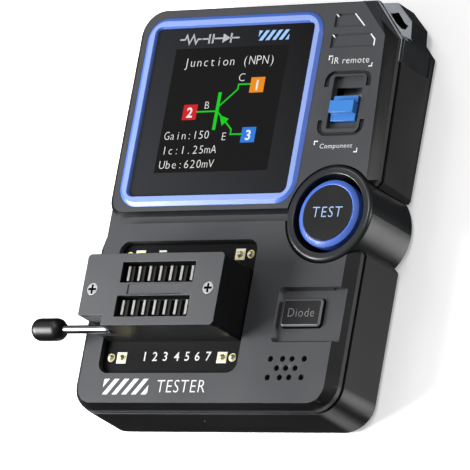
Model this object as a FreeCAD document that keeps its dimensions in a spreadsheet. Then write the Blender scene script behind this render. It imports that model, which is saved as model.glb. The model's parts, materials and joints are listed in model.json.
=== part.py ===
import FreeCAD, Part
import math
import os
import re

import Sketcher
from FreeCAD import Placement, Rotation, Vector

# Hand-held component tester: a flat two-shell case with a colour display, a lever socket for
# loose components, a round test button in a full-depth barrel, a small side button, a slide
# switch and a smoky infrared window on the cut corner.
# The case lies on its back. X runs across the face, Y towards the display end, Z out of the
# face. The origin is the middle of the flat back.

# ---------------------------------------------------------------------------------------------
# Driving dimensions, in millimetres
# ---------------------------------------------------------------------------------------------
SIZES = {
    # case outline and levels
    "half_wide": 32.1, "half_long": 42.75, "corner": 6.0,
    "draft": 0.45, "back_inset": 0.5, "back_step": 0.8,
    "parting": 11.4, "lip": 11.85, "neck": 12.15, "shoulder": 13.0, "face": 15.0,
    "reveal": 0.3, "bevel_side": 1.95, "bevel_end": 0.95, "wall": 1.7, "floor_thick": 1.6,
    "cut_top": 24.3, "cut_side": 33.7, "flare": 1.0,
    "wing": 6.6, "wing_foot": 7.6, "wing_head": 7.4, "wing_low": 5.8, "wing_high": 4.9,
    "channel_left": -26.2, "pocket_deep": 4.0,
    "ceiling": 13.4, "block_foot": -1.92, "block_edge": -1.4, "deck_edge": -3.9,
    # barrel of the round button
    "barrel_across": 23.6, "barrel_along": -2.75, "barrel_front": 9.88, "barrel_back": 10.05,
    "barrel_hole": 10.15, "barrel_bore": 8.05, "barrel_top": 15.4,
    # round button
    "cap_radius": 5.73, "cap_top": 15.65, "ring_radius": 6.9, "ring_edge": 15.0,
    "push_bottom": 12.4, "flange_thick": 0.4, "push_flange": 0.8,
    "switch_half": 3.0, "switch_high": 3.5, "stem_foot": 2.6, "stem_radius": 1.7,
    # display
    "screen_across": -6.73, "screen_along": 19.56, "frame_wide": 42.9, "frame_long": 39.96,
    "frame_rim": 2.25, "frame_proud": 0.5, "frame_corner": 4.5, "lens_thick": 0.95,
    "view_wide": 27.4, "view_long": 26.2, "view_across": -7.3, "view_along": 19.95,
    "panel_thick": 1.6, "panel_gap": 0.2, "lens_sink": 0.15, "ribbon_half": 6.0,
    # shallow marks beside the display, and the infrared window on the cut corner
    "mark_left": 16.8, "mark_low": 31.7, "mark_high": 34.5, "mark_right": 27.3,
    "mark_upper_low": 36.0, "mark_upper_high": 38.8, "mark_upper_right": 24.4, "mark_deep": 0.4,
    "ir_edge": 20.9, "ir_end": 29.35, "ir_seat": 2.3, "ir_foot": 2.0, "ir_waist": 7.8,
    "ir_slant": 1.45, "ir_top": 11.6, "ir_well": 4.6,
    # boards
    "board_top": 8.2, "board_thick": 1.2, "deck_board_top": 13.7, "deck_board_thick": 1.2,
    "board_half_wide": 28.5, "board_half_long": 34.5, "board_waist": 13.0, "board_arm": 27.0,
    "board_arm_half": 5.0, "board_lower": -14.5, "board_upper": 9.0,
    "pin_outer": -23.5, "pin_inner": -20.95, "pin_third": 3.28, "pin_fourth": 5.82,
    "pin_low": -31.45, "pin_high": -10.3, "pin_half": 0.32, "pad_radius": 0.85, "pad_half": 0.9,
    "pad_thick": 0.08,
    "window_left": -25.35, "window_right": 8.1, "window_low": -34.95, "window_high": -7.65,
    # lever socket
    "socket_across": -8.6, "socket_along": -20.87, "socket_wide": 33.0, "socket_long": 14.8,
    "socket_foot": 13.7, "socket_split": 22.3, "socket_top": 24.8, "contact_pitch": 2.54,
    "contact_across": -7.45, "row_half": 3.48, "row_long": 4.2, "row_wide": 17.5,
    "pivot_across": -21.6, "pivot_along": -27.2, "pivot_height": 19.0, "rod_radius": 0.85,
    "notch_wide": 5.95, "notch_long": 2.1, "handle_start": -32.05, "handle_end": -39.7,
    "handle_radius": 2.3, "handle_round": 1.9, "contact_thick": 0.55, "contact_half": 1.5,
    "tail_half": 0.25, "slider_left": -19.4, "slider_right": 2.3, "slider_thick": 2.0,
    "rib_thick": 0.7, "socket_screw_across": 13.95, "socket_screw_radius": 1.25,
    # slide switch
    "slot_left": 19.2, "slot_right": 26.3, "slot_low": 14.8, "slot_high": 25.7,
    "slot_depth": 1.1, "track_low": 16.35, "track_high": 23.6, "tab_wide": 5.8, "tab_long": 5.2,
    "tab_across": 22.5, "tab_low": 16.5, "grip_low": 17.9, "grip_long": 2.5, "grip_top": 15.8,
    "tab_foot": 12.3, "peg_half": 0.7, "slide_base_half": 4.4, "slide_base_top": 11.6,
    # small side button
    "key_left": 16.5, "key_right": 25.65, "key_low": -25.5, "key_high": -20.0, "key_top": 14.9,
    "key_gap": 0.25, "key_slope": 0.3, "key_flange": 0.7, "pan_left": 15.1,
    "pan_low": -28.8, "pan_high": -17.6, "pan_floor": 14.0,
    # sounder
    "sound_across": 19.78, "sound_along": -34.04, "sound_hole": 0.6, "sound_row": 1.87,
    "sounder_radius": 4.0, "sounder_high": 3.6, "sounder_left": 2.8, "sounder_up": 4.2,
    # fasteners and supply
    "post_across": 26.9, "post_along": 37.3, "post_upper": 19.0, "post_radius": 2.5,
    "post_foot": 4.6, "screw_radius": 1.0, "screw_head": 2.0, "screw_sink": 2.4,
    "stand_across": 25.0, "stand_along": 32.6, "stand_radius": 2.2, "stand_bore": 0.85,
    "usb_across": -8.0, "usb_height": 5.4, "usb_half": 4.45, "usb_rise": 1.6, "usb_deep": 7.5,
    "usb_skin": 0.3, "pinhole_across": -3.0, "pinhole_height": 7.6, "pinhole_radius": 0.45,
    "cell_left": -23.0, "cell_right": 11.0, "cell_half": 24.0, "cell_thick": 4.2,
    "lead_radius": 0.6, "lead_height": 5.2, "plug_low": 28.5, "plug_high": 32.5,
}

doc = FreeCAD.newDocument("component_tester")
sheet = doc.addObject("Spreadsheet::Sheet", "dims")
for row, (word, size) in enumerate(SIZES.items(), start=1):
    sheet.set(f"A{row}", word)
    sheet.set(f"B{row}", str(size))
    sheet.setAlias(f"B{row}", word)
doc.recompute()

NODES = []


# ---------------------------------------------------------------------------------------------
# Helpers: expressions, sketches and features
# ---------------------------------------------------------------------------------------------
def linked(text):
    """Turn words of the sheet into references, so 'face - lip' becomes 'dims.face - dims.lip'."""
    return re.sub(r"[a-z_]+", lambda word: linked_word(word.group(0)), str(text))


def linked_word(word):
    return "dims." + word if word in SIZES else word


def number(text):
    """The value of a size formula in millimetres."""
    plain = re.sub(r"[a-z_]+", lambda word: f"({SIZES[word.group(0)]})", str(text))
    return FreeCAD.Units.Quantity(plain).Value


def bind(thing, prop, text):
    thing.setExpression(prop, linked(text))


def node(thing, label):
    """Name a finished sub-part and list it for export."""
    thing.Label = label
    NODES.append(thing)
    return thing


def new_body(name, listed=True):
    body = doc.addObject("PartDesign::Body", name)
    if listed:
        node(body, name)
    return body


def sketch_on(body, level="0", role="XY_Plane"):
    """A sketch on one of the body's own origin planes, lifted to a level along its normal."""
    sketch = body.newObject("Sketcher::SketchObject", body.Name + "_sketch")
    plane = [item for item in body.Origin.OriginFeatures if item.Role == role][0]
    sketch.AttachmentSupport = [(plane, "")]
    sketch.MapMode = "FlatFace"
    bind(sketch, "AttachmentOffset.Base.z", level)
    doc.recompute()
    return sketch


def hold(sketch, kind, geometry, point, text):
    """Fix one coordinate of a sketch point to a size formula."""
    value = number(text)
    index = sketch.addConstraint(Sketcher.Constraint(kind, -1, 1, geometry, point, value))
    sketch.setExpression(f"Constraints[{index}]", linked(text))


def unit_towards(start, end):
    return (end - start).normalize()


def outline(sketch, corners):
    """Closed outline through corners (x, y, radius); a radius of 0 leaves the corner sharp."""
    points = [Vector(number(x), number(y), 0) for x, y, _ in corners]
    radii = [number(radius) for _, _, radius in corners]
    count = len(corners)
    into, away, centres = [], [], []
    for i, here in enumerate(points):
        back = unit_towards(here, points[i - 1])
        ahead = unit_towards(here, points[(i + 1) % count])
        half = back.getAngle(ahead) / 2
        reach = radii[i] / math.tan(half)
        into.append(here + back * reach)
        away.append(here + ahead * reach)
        middle = (back + ahead).normalize()
        centres.append(here + middle * (radii[i] / math.sin(half)))
    lines = []
    for i in range(count):
        lines.append(sketch.addGeometry(Part.LineSegment(away[i], into[(i + 1) % count]), False))
    for i in range(count):
        before, after = lines[i - 1], lines[i]
        x, y, radius = corners[i]
        if radii[i] == 0:
            sketch.addConstraint(Sketcher.Constraint("Coincident", before, 2, after, 1))
            hold(sketch, "DistanceX", after, 1, x)
            hold(sketch, "DistanceY", after, 1, y)
            continue
        point = sketch.addGeometry(Part.Point(points[i]), True)
        hold(sketch, "DistanceX", point, 1, x)
        hold(sketch, "DistanceY", point, 1, y)
        sketch.addConstraint(Sketcher.Constraint("PointOnObject", point, 1, before))
        sketch.addConstraint(Sketcher.Constraint("PointOnObject", point, 1, after))
        middle = centres[i] + (points[i] - centres[i]).normalize() * radii[i]
        arc = sketch.addGeometry(Part.Arc(into[i], middle, away[i]), False)
        turn = (into[i] - centres[i]).cross(away[i] - centres[i]).z
        first, last = (1, 2) if turn > 0 else (2, 1)
        sketch.addConstraint(Sketcher.Constraint("Tangent", before, 2, arc, first))
        sketch.addConstraint(Sketcher.Constraint("Tangent", arc, last, after, 1))
        index = sketch.addConstraint(Sketcher.Constraint("Radius", arc, radii[i]))
        sketch.setExpression(f"Constraints[{index}]", linked(radius))
    return sketch


def circles(sketch, rounds):
    """Circles (x, y, radius) with their centres and radii held by size formulas."""
    for x, y, radius in rounds:
        centre = Vector(number(x), number(y), 0)
        ring = sketch.addGeometry(Part.Circle(centre, Vector(0, 0, 1), number(radius)), False)
        hold(sketch, "DistanceX", ring, 3, x)
        hold(sketch, "DistanceY", ring, 3, y)
        index = sketch.addConstraint(Sketcher.Constraint("Radius", ring, number(radius)))
        sketch.setExpression(f"Constraints[{index}]", linked(radius))
    return sketch


def rectangle(left, low, right, high, radius="0"):
    return [(left, low, radius), (right, low, radius), (right, high, radius), (left, high, radius)]


def feature(body, kind, sketch, length, backwards, sign):
    """Pad or pocket a sketch and make sure that it changed the body's volume."""
    before = body.Shape.Volume if body.Tip else 0.0
    step = body.newObject(kind, f"{body.Name}_{kind.split('::')[1].lower()}")
    step.Profile = sketch
    bind(step, "Length", length)
    step.Reversed = backwards
    sketch.Visibility = False
    doc.recompute()
    gained = (body.Shape.Volume - before) * sign
    if gained <= 0:
        raise RuntimeError(f"{step.Name} changed nothing")
    return step


def pad(body, corners, level, length, down=False):
    return feature(body, "PartDesign::Pad", outline(sketch_on(body, level), corners), length, down, 1)


def pad_circles(body, rounds, level, length, down=False):
    return feature(body, "PartDesign::Pad", circles(sketch_on(body, level), rounds), length, down, 1)


def pocket(body, corners, level, depth, up=False):
    sketch = outline(sketch_on(body, level), corners)
    return feature(body, "PartDesign::Pocket", sketch, depth, up, -1)


def drill(body, rounds, level, depth, up=False):
    sketch = circles(sketch_on(body, level), rounds)
    return feature(body, "PartDesign::Pocket", sketch, depth, up, -1)


def loft(body, sections, kind="PartDesign::AdditiveLoft"):
    """Ruled loft through outlines given as (level, corners)."""
    sketches = [outline(sketch_on(body, level), corners) for level, corners in sections]
    step = body.newObject(kind, body.Name + "_loft")
    step.Profile = sketches[0]
    step.Sections = sketches[1:]
    step.Ruled = True
    for sketch in sketches:
        sketch.Visibility = False
    doc.recompute()
    return step


def turned(name, profile, x="0", y="0"):
    """A body turned about a Z axis through (x, y) from a profile of (radius, height, rounding)."""
    body = new_body(name)
    sketch = outline(sketch_on(body, "0", "XZ_Plane"), profile)
    step = body.newObject("PartDesign::Revolution", name + "_turn")
    step.Profile = sketch
    step.ReferenceAxis = (sketch, ["V_Axis"])
    step.Angle = 360
    sketch.Visibility = False
    bind(body, "Placement.Base.x", x)
    bind(body, "Placement.Base.y", y)
    doc.recompute()
    return body


def block(name, low, high):
    """A box between two corners given as size formulas."""
    box = doc.addObject("Part::Box", name)
    for axis, size, start, end in zip("xyz", ("Length", "Width", "Height"), low, high):
        bind(box, size, f"({end}) - ({start})")
        bind(box, f"Placement.Base.{axis}", start)
    return box


def round_bar(name, start, radius, length, axis="z"):
    """A cylinder from a start point along +X, +Y or +Z."""
    bar = doc.addObject("Part::Cylinder", name)
    bind(bar, "Radius", radius)
    bind(bar, "Height", length)
    turn = {"x": Rotation(Vector(0, 1, 0), 90), "y": Rotation(Vector(1, 0, 0), -90), "z": Rotation()}
    bar.Placement = Placement(Vector(0, 0, 0), turn[axis])
    for direction, text in zip("xyz", start):
        bind(bar, f"Placement.Base.{direction}", text)
    return bar


def fuse(name, pieces):
    joined = doc.addObject("Part::MultiFuse", name)
    joined.Shapes = pieces
    joined.Refine = True
    return joined


def cut(name, base, tools):
    rest = doc.addObject("Part::Cut", name)
    rest.Base = base
    rest.Tool = fuse(name + "_tools", tools) if len(tools) > 1 else tools[0]
    rest.Refine = True
    return rest


def group(name, pieces):
    """Identical separate solids in one node."""
    together = doc.addObject("Part::Compound", name)
    together.Links = pieces
    return node(together, name)


# ---------------------------------------------------------------------------------------------
# Outlines shared by the two shells
# ---------------------------------------------------------------------------------------------
def case_outline(inset, flare):
    """Case outline, stepped in by an inset. The side above the barrel leans out by the flare."""
    side = f"(half_wide - ({inset}))"
    end = f"(half_long - ({inset}))"
    bend = f"corner - ({inset})"
    return [
        (f"-{side}", f"-{end}", bend),
        (side, f"-{end}", bend),
        (side, "barrel_along - wing_foot", "0"),
        ("barrel_across + wing", "barrel_along - wing_low", "0"),
        ("barrel_across + wing", "barrel_along + wing_high", "0"),
        (f"{side} + {flare}", "barrel_along + wing_head", "0"),
        (f"{side} + 0.1", "cut_side", "0"),
        ("cut_top", end, "0"),
        (f"-{side}", end, bend),
    ]


def inner_outline():
    """Inside of the case walls."""
    side = "(half_wide - draft - wall)"
    end = "(half_long - draft - wall)"
    return [
        (f"-{side}", f"-{end}", "corner - wall"),
        (side, f"-{end}", "corner - wall"),
        (side, "cut_side - 0.9", "0"),
        ("cut_top - 0.7", end, "0"),
        (f"-{side}", end, "corner - wall"),
    ]


POSTS = [
    ("-post_across", "post_along"), ("-post_across", "-post_along"),
    ("post_across", "-post_along"), ("post_upper", "post_along"),
]
STANDS = [
    ("-stand_across", "stand_along"), ("-stand_across - 1", "-stand_along"),
    ("stand_across + 1.3", "-stand_along + 14.6"), ("stand_across - 10", "stand_along"),
]


# ---------------------------------------------------------------------------------------------
# Rear shell
# ---------------------------------------------------------------------------------------------
def rear_shell():
    shell = new_body("rear_shell")
    loft(shell, [
        ("0", case_outline("back_inset", "0")),
        ("back_step", case_outline("0", "0")),
        ("parting", case_outline("draft", "flare")),
    ])
    # low tongue that closes the reveal line behind the front shell's lip
    pad(shell, case_outline("draft + reveal + 0.5", "flare"), "parting - 0.1", "lip - parting + 0.1")
    pocket(shell, inner_outline(), "lip", "lip - floor_thick")
    pad_circles(shell, [(x, y, "post_radius + 1") for x, y in POSTS], "floor_thick - 0.1", "2.9")
    pad_circles(shell, [(x, y, "stand_radius") for x, y in STANDS], "floor_thick - 0.1",
                "board_top - board_thick - floor_thick + 0.1")
    drill(shell, [("barrel_across", "barrel_along", "barrel_hole")], "lip", "lip")
    drill(shell, [(x, y, "screw_head + 0.25") for x, y in POSTS], "0", "screw_sink", up=True)
    drill(shell, [(x, y, "screw_radius + 0.2") for x, y in POSTS], "0", "6", up=True)
    drill(shell, [(x, y, "stand_bore") for x, y in STANDS], "board_top - board_thick", "4.5")
    # seat of the infrared window on the cut corner
    pocket(shell, [
        ("ir_edge", "half_long + 4", "0"), ("ir_edge", "half_long - ir_seat", "0"),
        ("cut_top - 0.6", "half_long - ir_seat", "0"), ("half_wide - 2.2", "cut_side - 0.9", "0"),
        ("half_wide - 2.2", "ir_end", "0"), ("half_wide + 4", "ir_end", "0"),
        ("half_wide + 4", "half_long + 4", "0"),
    ], "lip", "lip - ir_foot")
    # charging socket opening in the display end, and the reset pinhole in the other end
    end_cut = outline(sketch_on(shell, "-half_long - 1", "XZ_Plane"), rectangle(
        "usb_across - 4.6", "usb_height - 1.75", "usb_across + 4.6", "usb_height + 1.75", "1.7"))
    feature(shell, "PartDesign::Pocket", end_cut, "6", True, -1)
    pin_cut = circles(sketch_on(shell, "half_long + 1", "XZ_Plane"), [
        ("pinhole_across", "pinhole_height", "pinhole_radius")])
    feature(shell, "PartDesign::Pocket", pin_cut, "6", False, -1)


# ---------------------------------------------------------------------------------------------
# Front shell: display block and socket deck, two raised fields with a channel between them
# ---------------------------------------------------------------------------------------------
def front_shell():
    shell = new_body("front_shell")
    side = "(half_wide - draft - reveal)"
    end = "(half_long - draft - reveal)"
    bend = "corner - draft - reveal"
    pad(shell, case_outline("draft + reveal", "flare - 0.1"), "lip", "neck - lip")
    block_foot = [
        (f"-{side}", "block_foot", "4"), ("barrel_across + wing", "block_foot", "0"),
        ("barrel_across + wing", "barrel_along + wing_high", "0"),
        (f"{side} + flare - 0.1", "barrel_along + wing_head", "0"),
        (f"{side} + 0.1", "cut_side", "0"), ("cut_top", end, "0"), (f"-{side}", end, bend),
    ]
    block_face = [
        (f"-{side} + bevel_side", "block_edge", "3"), ("barrel_across + 5.4", "block_edge", "0"),
        ("barrel_across + 5.4", "barrel_along + 4.7", "0"),
        (f"{side} + flare - 1.45", "barrel_along + 6.7", "0"),
        (f"{side} - bevel_side", "cut_side + 0.2", "0"), ("cut_top - 1.2", f"{end} - bevel_end", "0"),
        (f"-{side} + bevel_side", f"{end} - bevel_end", "4.4"),
    ]
    deck_foot = [
        (f"-{side}", f"-{end}", bend), (side, f"-{end}", bend),
        (side, "barrel_along - wing_foot", "0"), ("barrel_across + wing", "barrel_along - 6.1", "0"),
        ("barrel_across + wing", "deck_edge", "0"), (f"-{side}", "deck_edge", "5"),
    ]
    deck_face = [
        (f"-{side} + bevel_side", f"-{end} + bevel_end", "3.6"),
        (f"{side} - bevel_side", f"-{end} + bevel_end", "3.6"),
        (f"{side} - bevel_side", "barrel_along - 7.9", "0"),
        ("barrel_across + 5.3", "barrel_along - 7.1", "0"),
        ("barrel_across + 5.3", "deck_edge - 0.05", "0"),
        (f"-{side} + bevel_side", "deck_edge - 0.05", "4.2"),
    ]
    for foot, face in ((block_foot, block_face), (deck_foot, deck_face)):
        pad(shell, foot, "neck - 0.05", "shoulder - neck + 0.05")
        loft(shell, [("shoulder", foot), ("face", face)])
    # channel floor between the two fields, lower at its open end
    pad(shell, rectangle("channel_left", "deck_edge - 0.2", "barrel_across - 6", "block_foot + 0.2"),
        "neck - 0.05", "shoulder - neck + 0.05")
    # hollow under each field
    inner = "(half_wide - draft - wall)"
    inner_end = "(half_long - draft - wall)"
    pocket(shell, [
        (f"-{inner}", "0.2", "2"), (f"{inner} - 0.2", "0.2", "2"), (f"{inner} - 0.2", "cut_side - 1.2", "0"),
        ("cut_top - 1.4", f"{inner_end} - 0.3", "0"), (f"-{inner}", f"{inner_end} - 0.3", "3"),
    ], "lip", "ceiling - lip", up=True)
    pocket(shell, rectangle(f"-{inner}", f"-{inner_end} + 0.3", f"{inner} - 0.3", "deck_edge - 1.6", "2.5"),
           "lip", "ceiling - lip", up=True)
    pad(shell, rectangle("-29", "deck_edge - 1.7", "barrel_across - 10.6", "0.3"), "lip + 0.1", "1",
        down=True)
    # posts that take the case screws
    pad_circles(shell, [(x, y, "post_radius") for x, y in POSTS], "post_foot",
                "ceiling + 0.1 - post_foot")
    drill(shell, [(x, y, "screw_radius + 0.05") for x, y in POSTS], "post_foot", "7.2", up=True)
    # barrel and display openings
    drill(shell, [("barrel_across", "barrel_along", "barrel_hole")], "face + 1", "6")
    half_wide = "frame_wide / 2"
    half_long = "frame_long / 2"
    pocket(shell, rectangle(
        f"screen_across - {half_wide}", f"screen_along - {half_long}",
        f"screen_across + {half_wide}", f"screen_along + {half_long}", "frame_corner"),
        "face", "face - shoulder - 0.9")
    pocket(shell, rectangle(
        f"screen_across - {half_wide} + frame_rim + 0.6", f"screen_along - {half_long} + frame_rim + 0.6",
        f"screen_across + {half_wide} - frame_rim - 0.6", f"screen_along + {half_long} - frame_rim - 0.6",
        "1.5"), "face", "pocket_deep")
    # two shallow marks beside the display
    pocket(shell, [
        ("mark_left + 0.1", "mark_upper_low", "0"), ("mark_upper_right", "mark_upper_low", "0"),
        ("mark_upper_right - 2.8", "mark_upper_high", "0"), ("mark_left + 0.1", "mark_upper_high", "0"),
    ], "face", "mark_deep")
    pocket(shell, [
        ("mark_left", "mark_low", "0"), ("mark_right", "mark_low", "0"),
        ("mark_right", "mark_high - 1.3", "0"), ("mark_right - 1.3", "mark_high", "0"),
        ("mark_left", "mark_high", "0"),
    ], "face", "mark_deep")
    # slide switch pan, its track, and the two bracket grooves around it
    pocket(shell, rectangle("slot_left", "slot_low", "slot_right", "slot_high", "0.4"), "face", "slot_depth")
    pocket(shell, rectangle("slot_left + 0.2", "track_low", "slot_right - 0.7", "track_high"),
           "face", "pocket_deep")
    for foot, tip, top in (("23.5", "26.8", "1"), ("16.6", "13.3", "-1")):
        pocket(shell, [
            ("17.1", foot, "0"), ("18.2", foot, "0"), ("18.2", f"{tip} - {top} * 0.75", "1.1"),
            ("26.9", f"{tip} - {top} * 0.75", "1.1"), ("26.9", foot, "0"), ("28", foot, "0"),
            ("28", tip, "2.2"), ("17.1", tip, "2.2"),
        ], "face", "0.45")
    # socket window
    pocket(shell, rectangle("window_left", "window_low", "window_right", "window_high", "2.3"),
           "face", "pocket_deep")
    # pan of the small button, open to the side bevel, and the opening for its key
    loft(shell, [
        ("face + 0.01", rectangle("pan_left", "pan_low", "half_wide - 2.4", "pan_high", "1")),
        ("pan_floor", rectangle("pan_left + 0.6", "pan_low + 0.5", "half_wide - 2.4", "pan_high - 0.5",
                                "0.8")),
    ], "PartDesign::SubtractiveLoft")
    pocket(shell, rectangle("27.5", "pan_low + 0.2", "half_wide + 1", "pan_high - 0.2"), "face",
           "face - pan_floor")
    pocket(shell, rectangle("key_left - key_gap", "key_low - key_gap", "key_right + key_gap",
                            "key_high + key_gap", "0.8"), "face", "pocket_deep")
    # sound holes in three staggered rows
    holes = [(f"sound_across + {dx}", f"sound_along + {row} * sound_row", "sound_hole")
             for row, offsets in ((1, (-3.95, -1.1, 1.1, 3.95)), (0, (-2.17, 0, 2.17)),
                                  (-1, (-3.95, -1.1, 1.1, 3.95))) for dx in offsets]
    drill(shell, holes, "face", "pocket_deep")


# ---------------------------------------------------------------------------------------------
# Infrared window on the cut corner: a wall piece with a bevelled nose that stands proud
# ---------------------------------------------------------------------------------------------
def infrared_window():
    window = new_body("ir_window")
    side = "half_wide - draft"
    loft(window, [(level, [
        ("ir_edge", "half_long - draft", "0"), ("ir_edge", "half_long - ir_seat", "0"),
        ("cut_top - 0.6", "half_long - ir_seat", "0"), ("half_wide - 2.2", "cut_side - 0.9", "0"),
        ("half_wide - 2.2", "ir_end", "0"), (f"{side} + 0.25", "ir_end", "0"),
        (f"{side} + 0.2", "34.1", "0"), (f"30.5 - {slant}", f"35.9 - {slant} * 0.2", "0"),
        (f"30.1 - {slant}", f"39.3 - {slant} * 1.2", "0"),
        (f"26.1 - {slant} * 0.9", f"43.4 - {slant}", "0"), ("23.9", "half_long - draft + 0.05", "0"),
    ]) for level, slant in (("ir_foot", "0"), ("ir_waist", "0"), ("ir_top", "ir_slant"))])
    # rim in front of the rear shell, outside the front shell
    pad(window, [
        (f"{side} - reveal + 0.32", "ir_end", "0"), (f"{side} + 0.25", "ir_end", "0"),
        (f"{side} + 0.15", "cut_side + 0.4", "0"), ("cut_top + 0.4", "half_long - draft", "0"),
        ("ir_edge", "half_long - draft", "0"), ("ir_edge", "half_long - draft - reveal + 0.1", "0"),
        ("cut_top + 0.1", "half_long - draft - reveal + 0.1", "0"),
        (f"{side} - reveal + 0.2", "cut_side + 0.1", "0"),
    ], "parting + 0.1", "0.95")
    # dark well behind the rim, in which the receiver looks out
    pocket(window, [
        ("27", "39.9", "0"), ("29.45", "37.05", "0"), ("29.8", "37.1", "0"), ("29.75", "38.25", "0"),
        ("27.6", "40.75", "0"),
    ], "ir_top", "ir_well")


# ---------------------------------------------------------------------------------------------
# Round button: barrel, ring, cap, and the switch under it
# ---------------------------------------------------------------------------------------------
def round_button():
    barrel = turned("test_barrel", [
        ("0", "0", "0"), ("barrel_back - 0.6", "0", "0"), ("barrel_back", "back_step", "0"),
        ("barrel_front", "barrel_top", "0.9"), ("barrel_bore", "barrel_top", "0.25"),
        ("barrel_bore", "floor_thick + 0.4", "0"), ("0", "floor_thick + 0.4", "0"),
    ], "barrel_across", "barrel_along")
    # slot through the left wall for the tongue of the main board
    pocket(barrel, rectangle("-12", "-5.2", "-6", "5.2"), "board_top + 0.1", "board_thick + 0.2")
    turned("test_ring", [
        ("cap_radius + 0.02", "push_bottom + flange_thick", "0"),
        ("ring_radius", "push_bottom + flange_thick", "0"),
        ("ring_radius", "ring_edge", "0"), ("cap_radius + 0.25", "cap_top - 0.05", "0.15"),
        ("cap_radius + 0.02", "cap_top - 0.1", "0"),
    ], "barrel_across", "barrel_along")
    turned("test_cap", [
        ("0", "push_bottom", "0"), ("cap_radius + push_flange", "push_bottom", "0"),
        ("cap_radius + push_flange", "push_bottom + flange_thick", "0"),
        ("cap_radius", "push_bottom + flange_thick", "0"),
        ("cap_radius", "cap_top", "0.15"), ("0", "cap_top", "0"),
    ], "barrel_across", "barrel_along")
    turned("test_switch_stem", [
        ("0", "board_top + stem_foot", "0"), ("stem_radius", "board_top + stem_foot", "0"),
        ("stem_radius", "push_bottom", "0.1"),
        ("0", "push_bottom", "0"),
    ], "barrel_across", "barrel_along")
    switch = new_body("test_switch")
    pad(switch, rectangle("-switch_half", "-switch_half", "switch_half", "switch_half", "0.3"),
        "board_top", "switch_high")
    drill(switch, [("0", "0", "stem_radius + 0.15")], "board_top + switch_high", "1.7")
    bind(switch, "Placement.Base.x", "barrel_across")
    bind(switch, "Placement.Base.y", "barrel_along")


def small_button():
    middle_x = "(key_left + key_right) / 2"
    middle_y = "(key_low + key_high) / 2"
    key = new_body("mode_key")
    pad(key, rectangle("key_left", "key_low", "key_right", "key_high", "0.6"), "push_bottom",
        "key_top - push_bottom - 0.25")
    loft(key, [
        ("key_top - 0.25", rectangle("key_left", "key_low", "key_right", "key_high", "0.6")),
        ("key_top", rectangle("key_left + key_slope", "key_low + key_slope", "key_right - key_slope",
                              "key_high - key_slope",
                              "0.4")),
    ])
    pad(key, rectangle("key_left - key_flange", "key_low - key_flange", "key_right + key_flange",
                       "key_high + key_flange", "0.5"),
        "push_bottom - 0.1", "flange_thick")
    turned("mode_switch_stem", [
        ("0", "board_top + stem_foot", "0"), ("1.1", "board_top + stem_foot", "0"),
        ("1.1", "push_bottom - 0.1", "0"), ("0", "push_bottom - 0.1", "0"),
    ], middle_x, middle_y)
    switch = new_body("mode_switch")
    pad(switch, rectangle("-2.25", "-2.25", "2.25", "2.25", "0.2"), "board_top", "3.4")
    drill(switch, [("0", "0", "1.25")], "board_top + 3.4", "1.6")
    bind(switch, "Placement.Base.x", middle_x)
    bind(switch, "Placement.Base.y", middle_y)


# ---------------------------------------------------------------------------------------------
# Slide switch under the two-position tab
# ---------------------------------------------------------------------------------------------
def slide_switch():
    middle = "(track_low + track_high) / 2"
    left = "tab_across - tab_wide / 2"
    right = "tab_across + tab_wide / 2"
    base = block("slide_base", (left, f"{middle} - slide_base_half", "board_top"),
                 (right, f"{middle} + slide_base_half", "slide_base_top"))
    slit = block("slide_slit", ("tab_across - 0.8", f"{middle} - 2.5", "9.4"),
                 ("tab_across + 0.8", f"{middle} + 2.5", "12"))
    node(cut("slide_switch", base, [slit]), "slide_switch")
    plate = block("tab_plate", (left, "tab_low", "tab_foot"), (right, "tab_low + tab_long", "face - 0.4"))
    grip = block("tab_grip", (f"{left} + 0.1", "grip_low", "face - 0.5"),
                 (f"{right} - 0.1", "grip_low + grip_long", "grip_top"))
    peg = block("tab_peg", ("tab_across - peg_half", "tab_low + 1.6", "10.2"),
                ("tab_across + peg_half", "tab_low + 3", "12.4"))
    node(fuse("slide_tab", [plate, grip, peg]), "slide_tab")


# ---------------------------------------------------------------------------------------------
# Display: blue frame, lens, panel and its holder
# ---------------------------------------------------------------------------------------------
def display():
    half_wide = "frame_wide / 2"
    half_long = "frame_long / 2"
    centre = ("screen_across", "screen_along")

    def ring(inset, bend):
        x, y = centre
        return rectangle(f"{x} - {half_wide} + {inset}", f"{y} - {half_long} + {inset}",
                         f"{x} + {half_wide} - ({inset})", f"{y} + {half_long} - ({inset})", bend)

    frame = new_body("screen_frame")
    pad(frame, ring("0.05", "frame_corner"), "shoulder + 0.9", "face - shoulder - 0.9")
    loft(frame, [("face", ring("0.05", "frame_corner")),
                 ("face + frame_proud", ring("0.85", "frame_corner - 0.9"))])
    loft(frame, [("face + frame_proud + 0.01", ring("frame_rim - 0.25", "1.6")),
                 ("face - lens_sink", ring("frame_rim", "1.4"))], "PartDesign::SubtractiveLoft")
    pocket(frame, ring("frame_rim", "1.4"), "face", "3")
    lens = new_body("screen_lens")
    pad(lens, ring("frame_rim + 0.03", "1.35"), "face - lens_sink - lens_thick", "lens_thick")
    view = rectangle("view_across - view_wide / 2 - 1.5", "view_along - view_long / 2 - 4",
                     "view_across + view_wide / 2 + 1.5", "view_along + view_long / 2 + 1.5", "0.3")
    panel = new_body("display_panel")
    pad(panel, view, "face - panel_gap - lens_thick - panel_thick", "panel_thick")
    holder = new_body("display_holder")
    pad(holder, view, "board_top", "face - panel_gap - lens_thick - panel_thick - board_top")
    ribbon = block("display_ribbon",
                   ("view_across - ribbon_half", "view_along - view_long / 2 - 4.4", "board_top"),
                   ("view_across + ribbon_half", "view_along - view_long / 2 - 4.1", "13.6"))
    node(ribbon, "display_ribbon")


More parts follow.
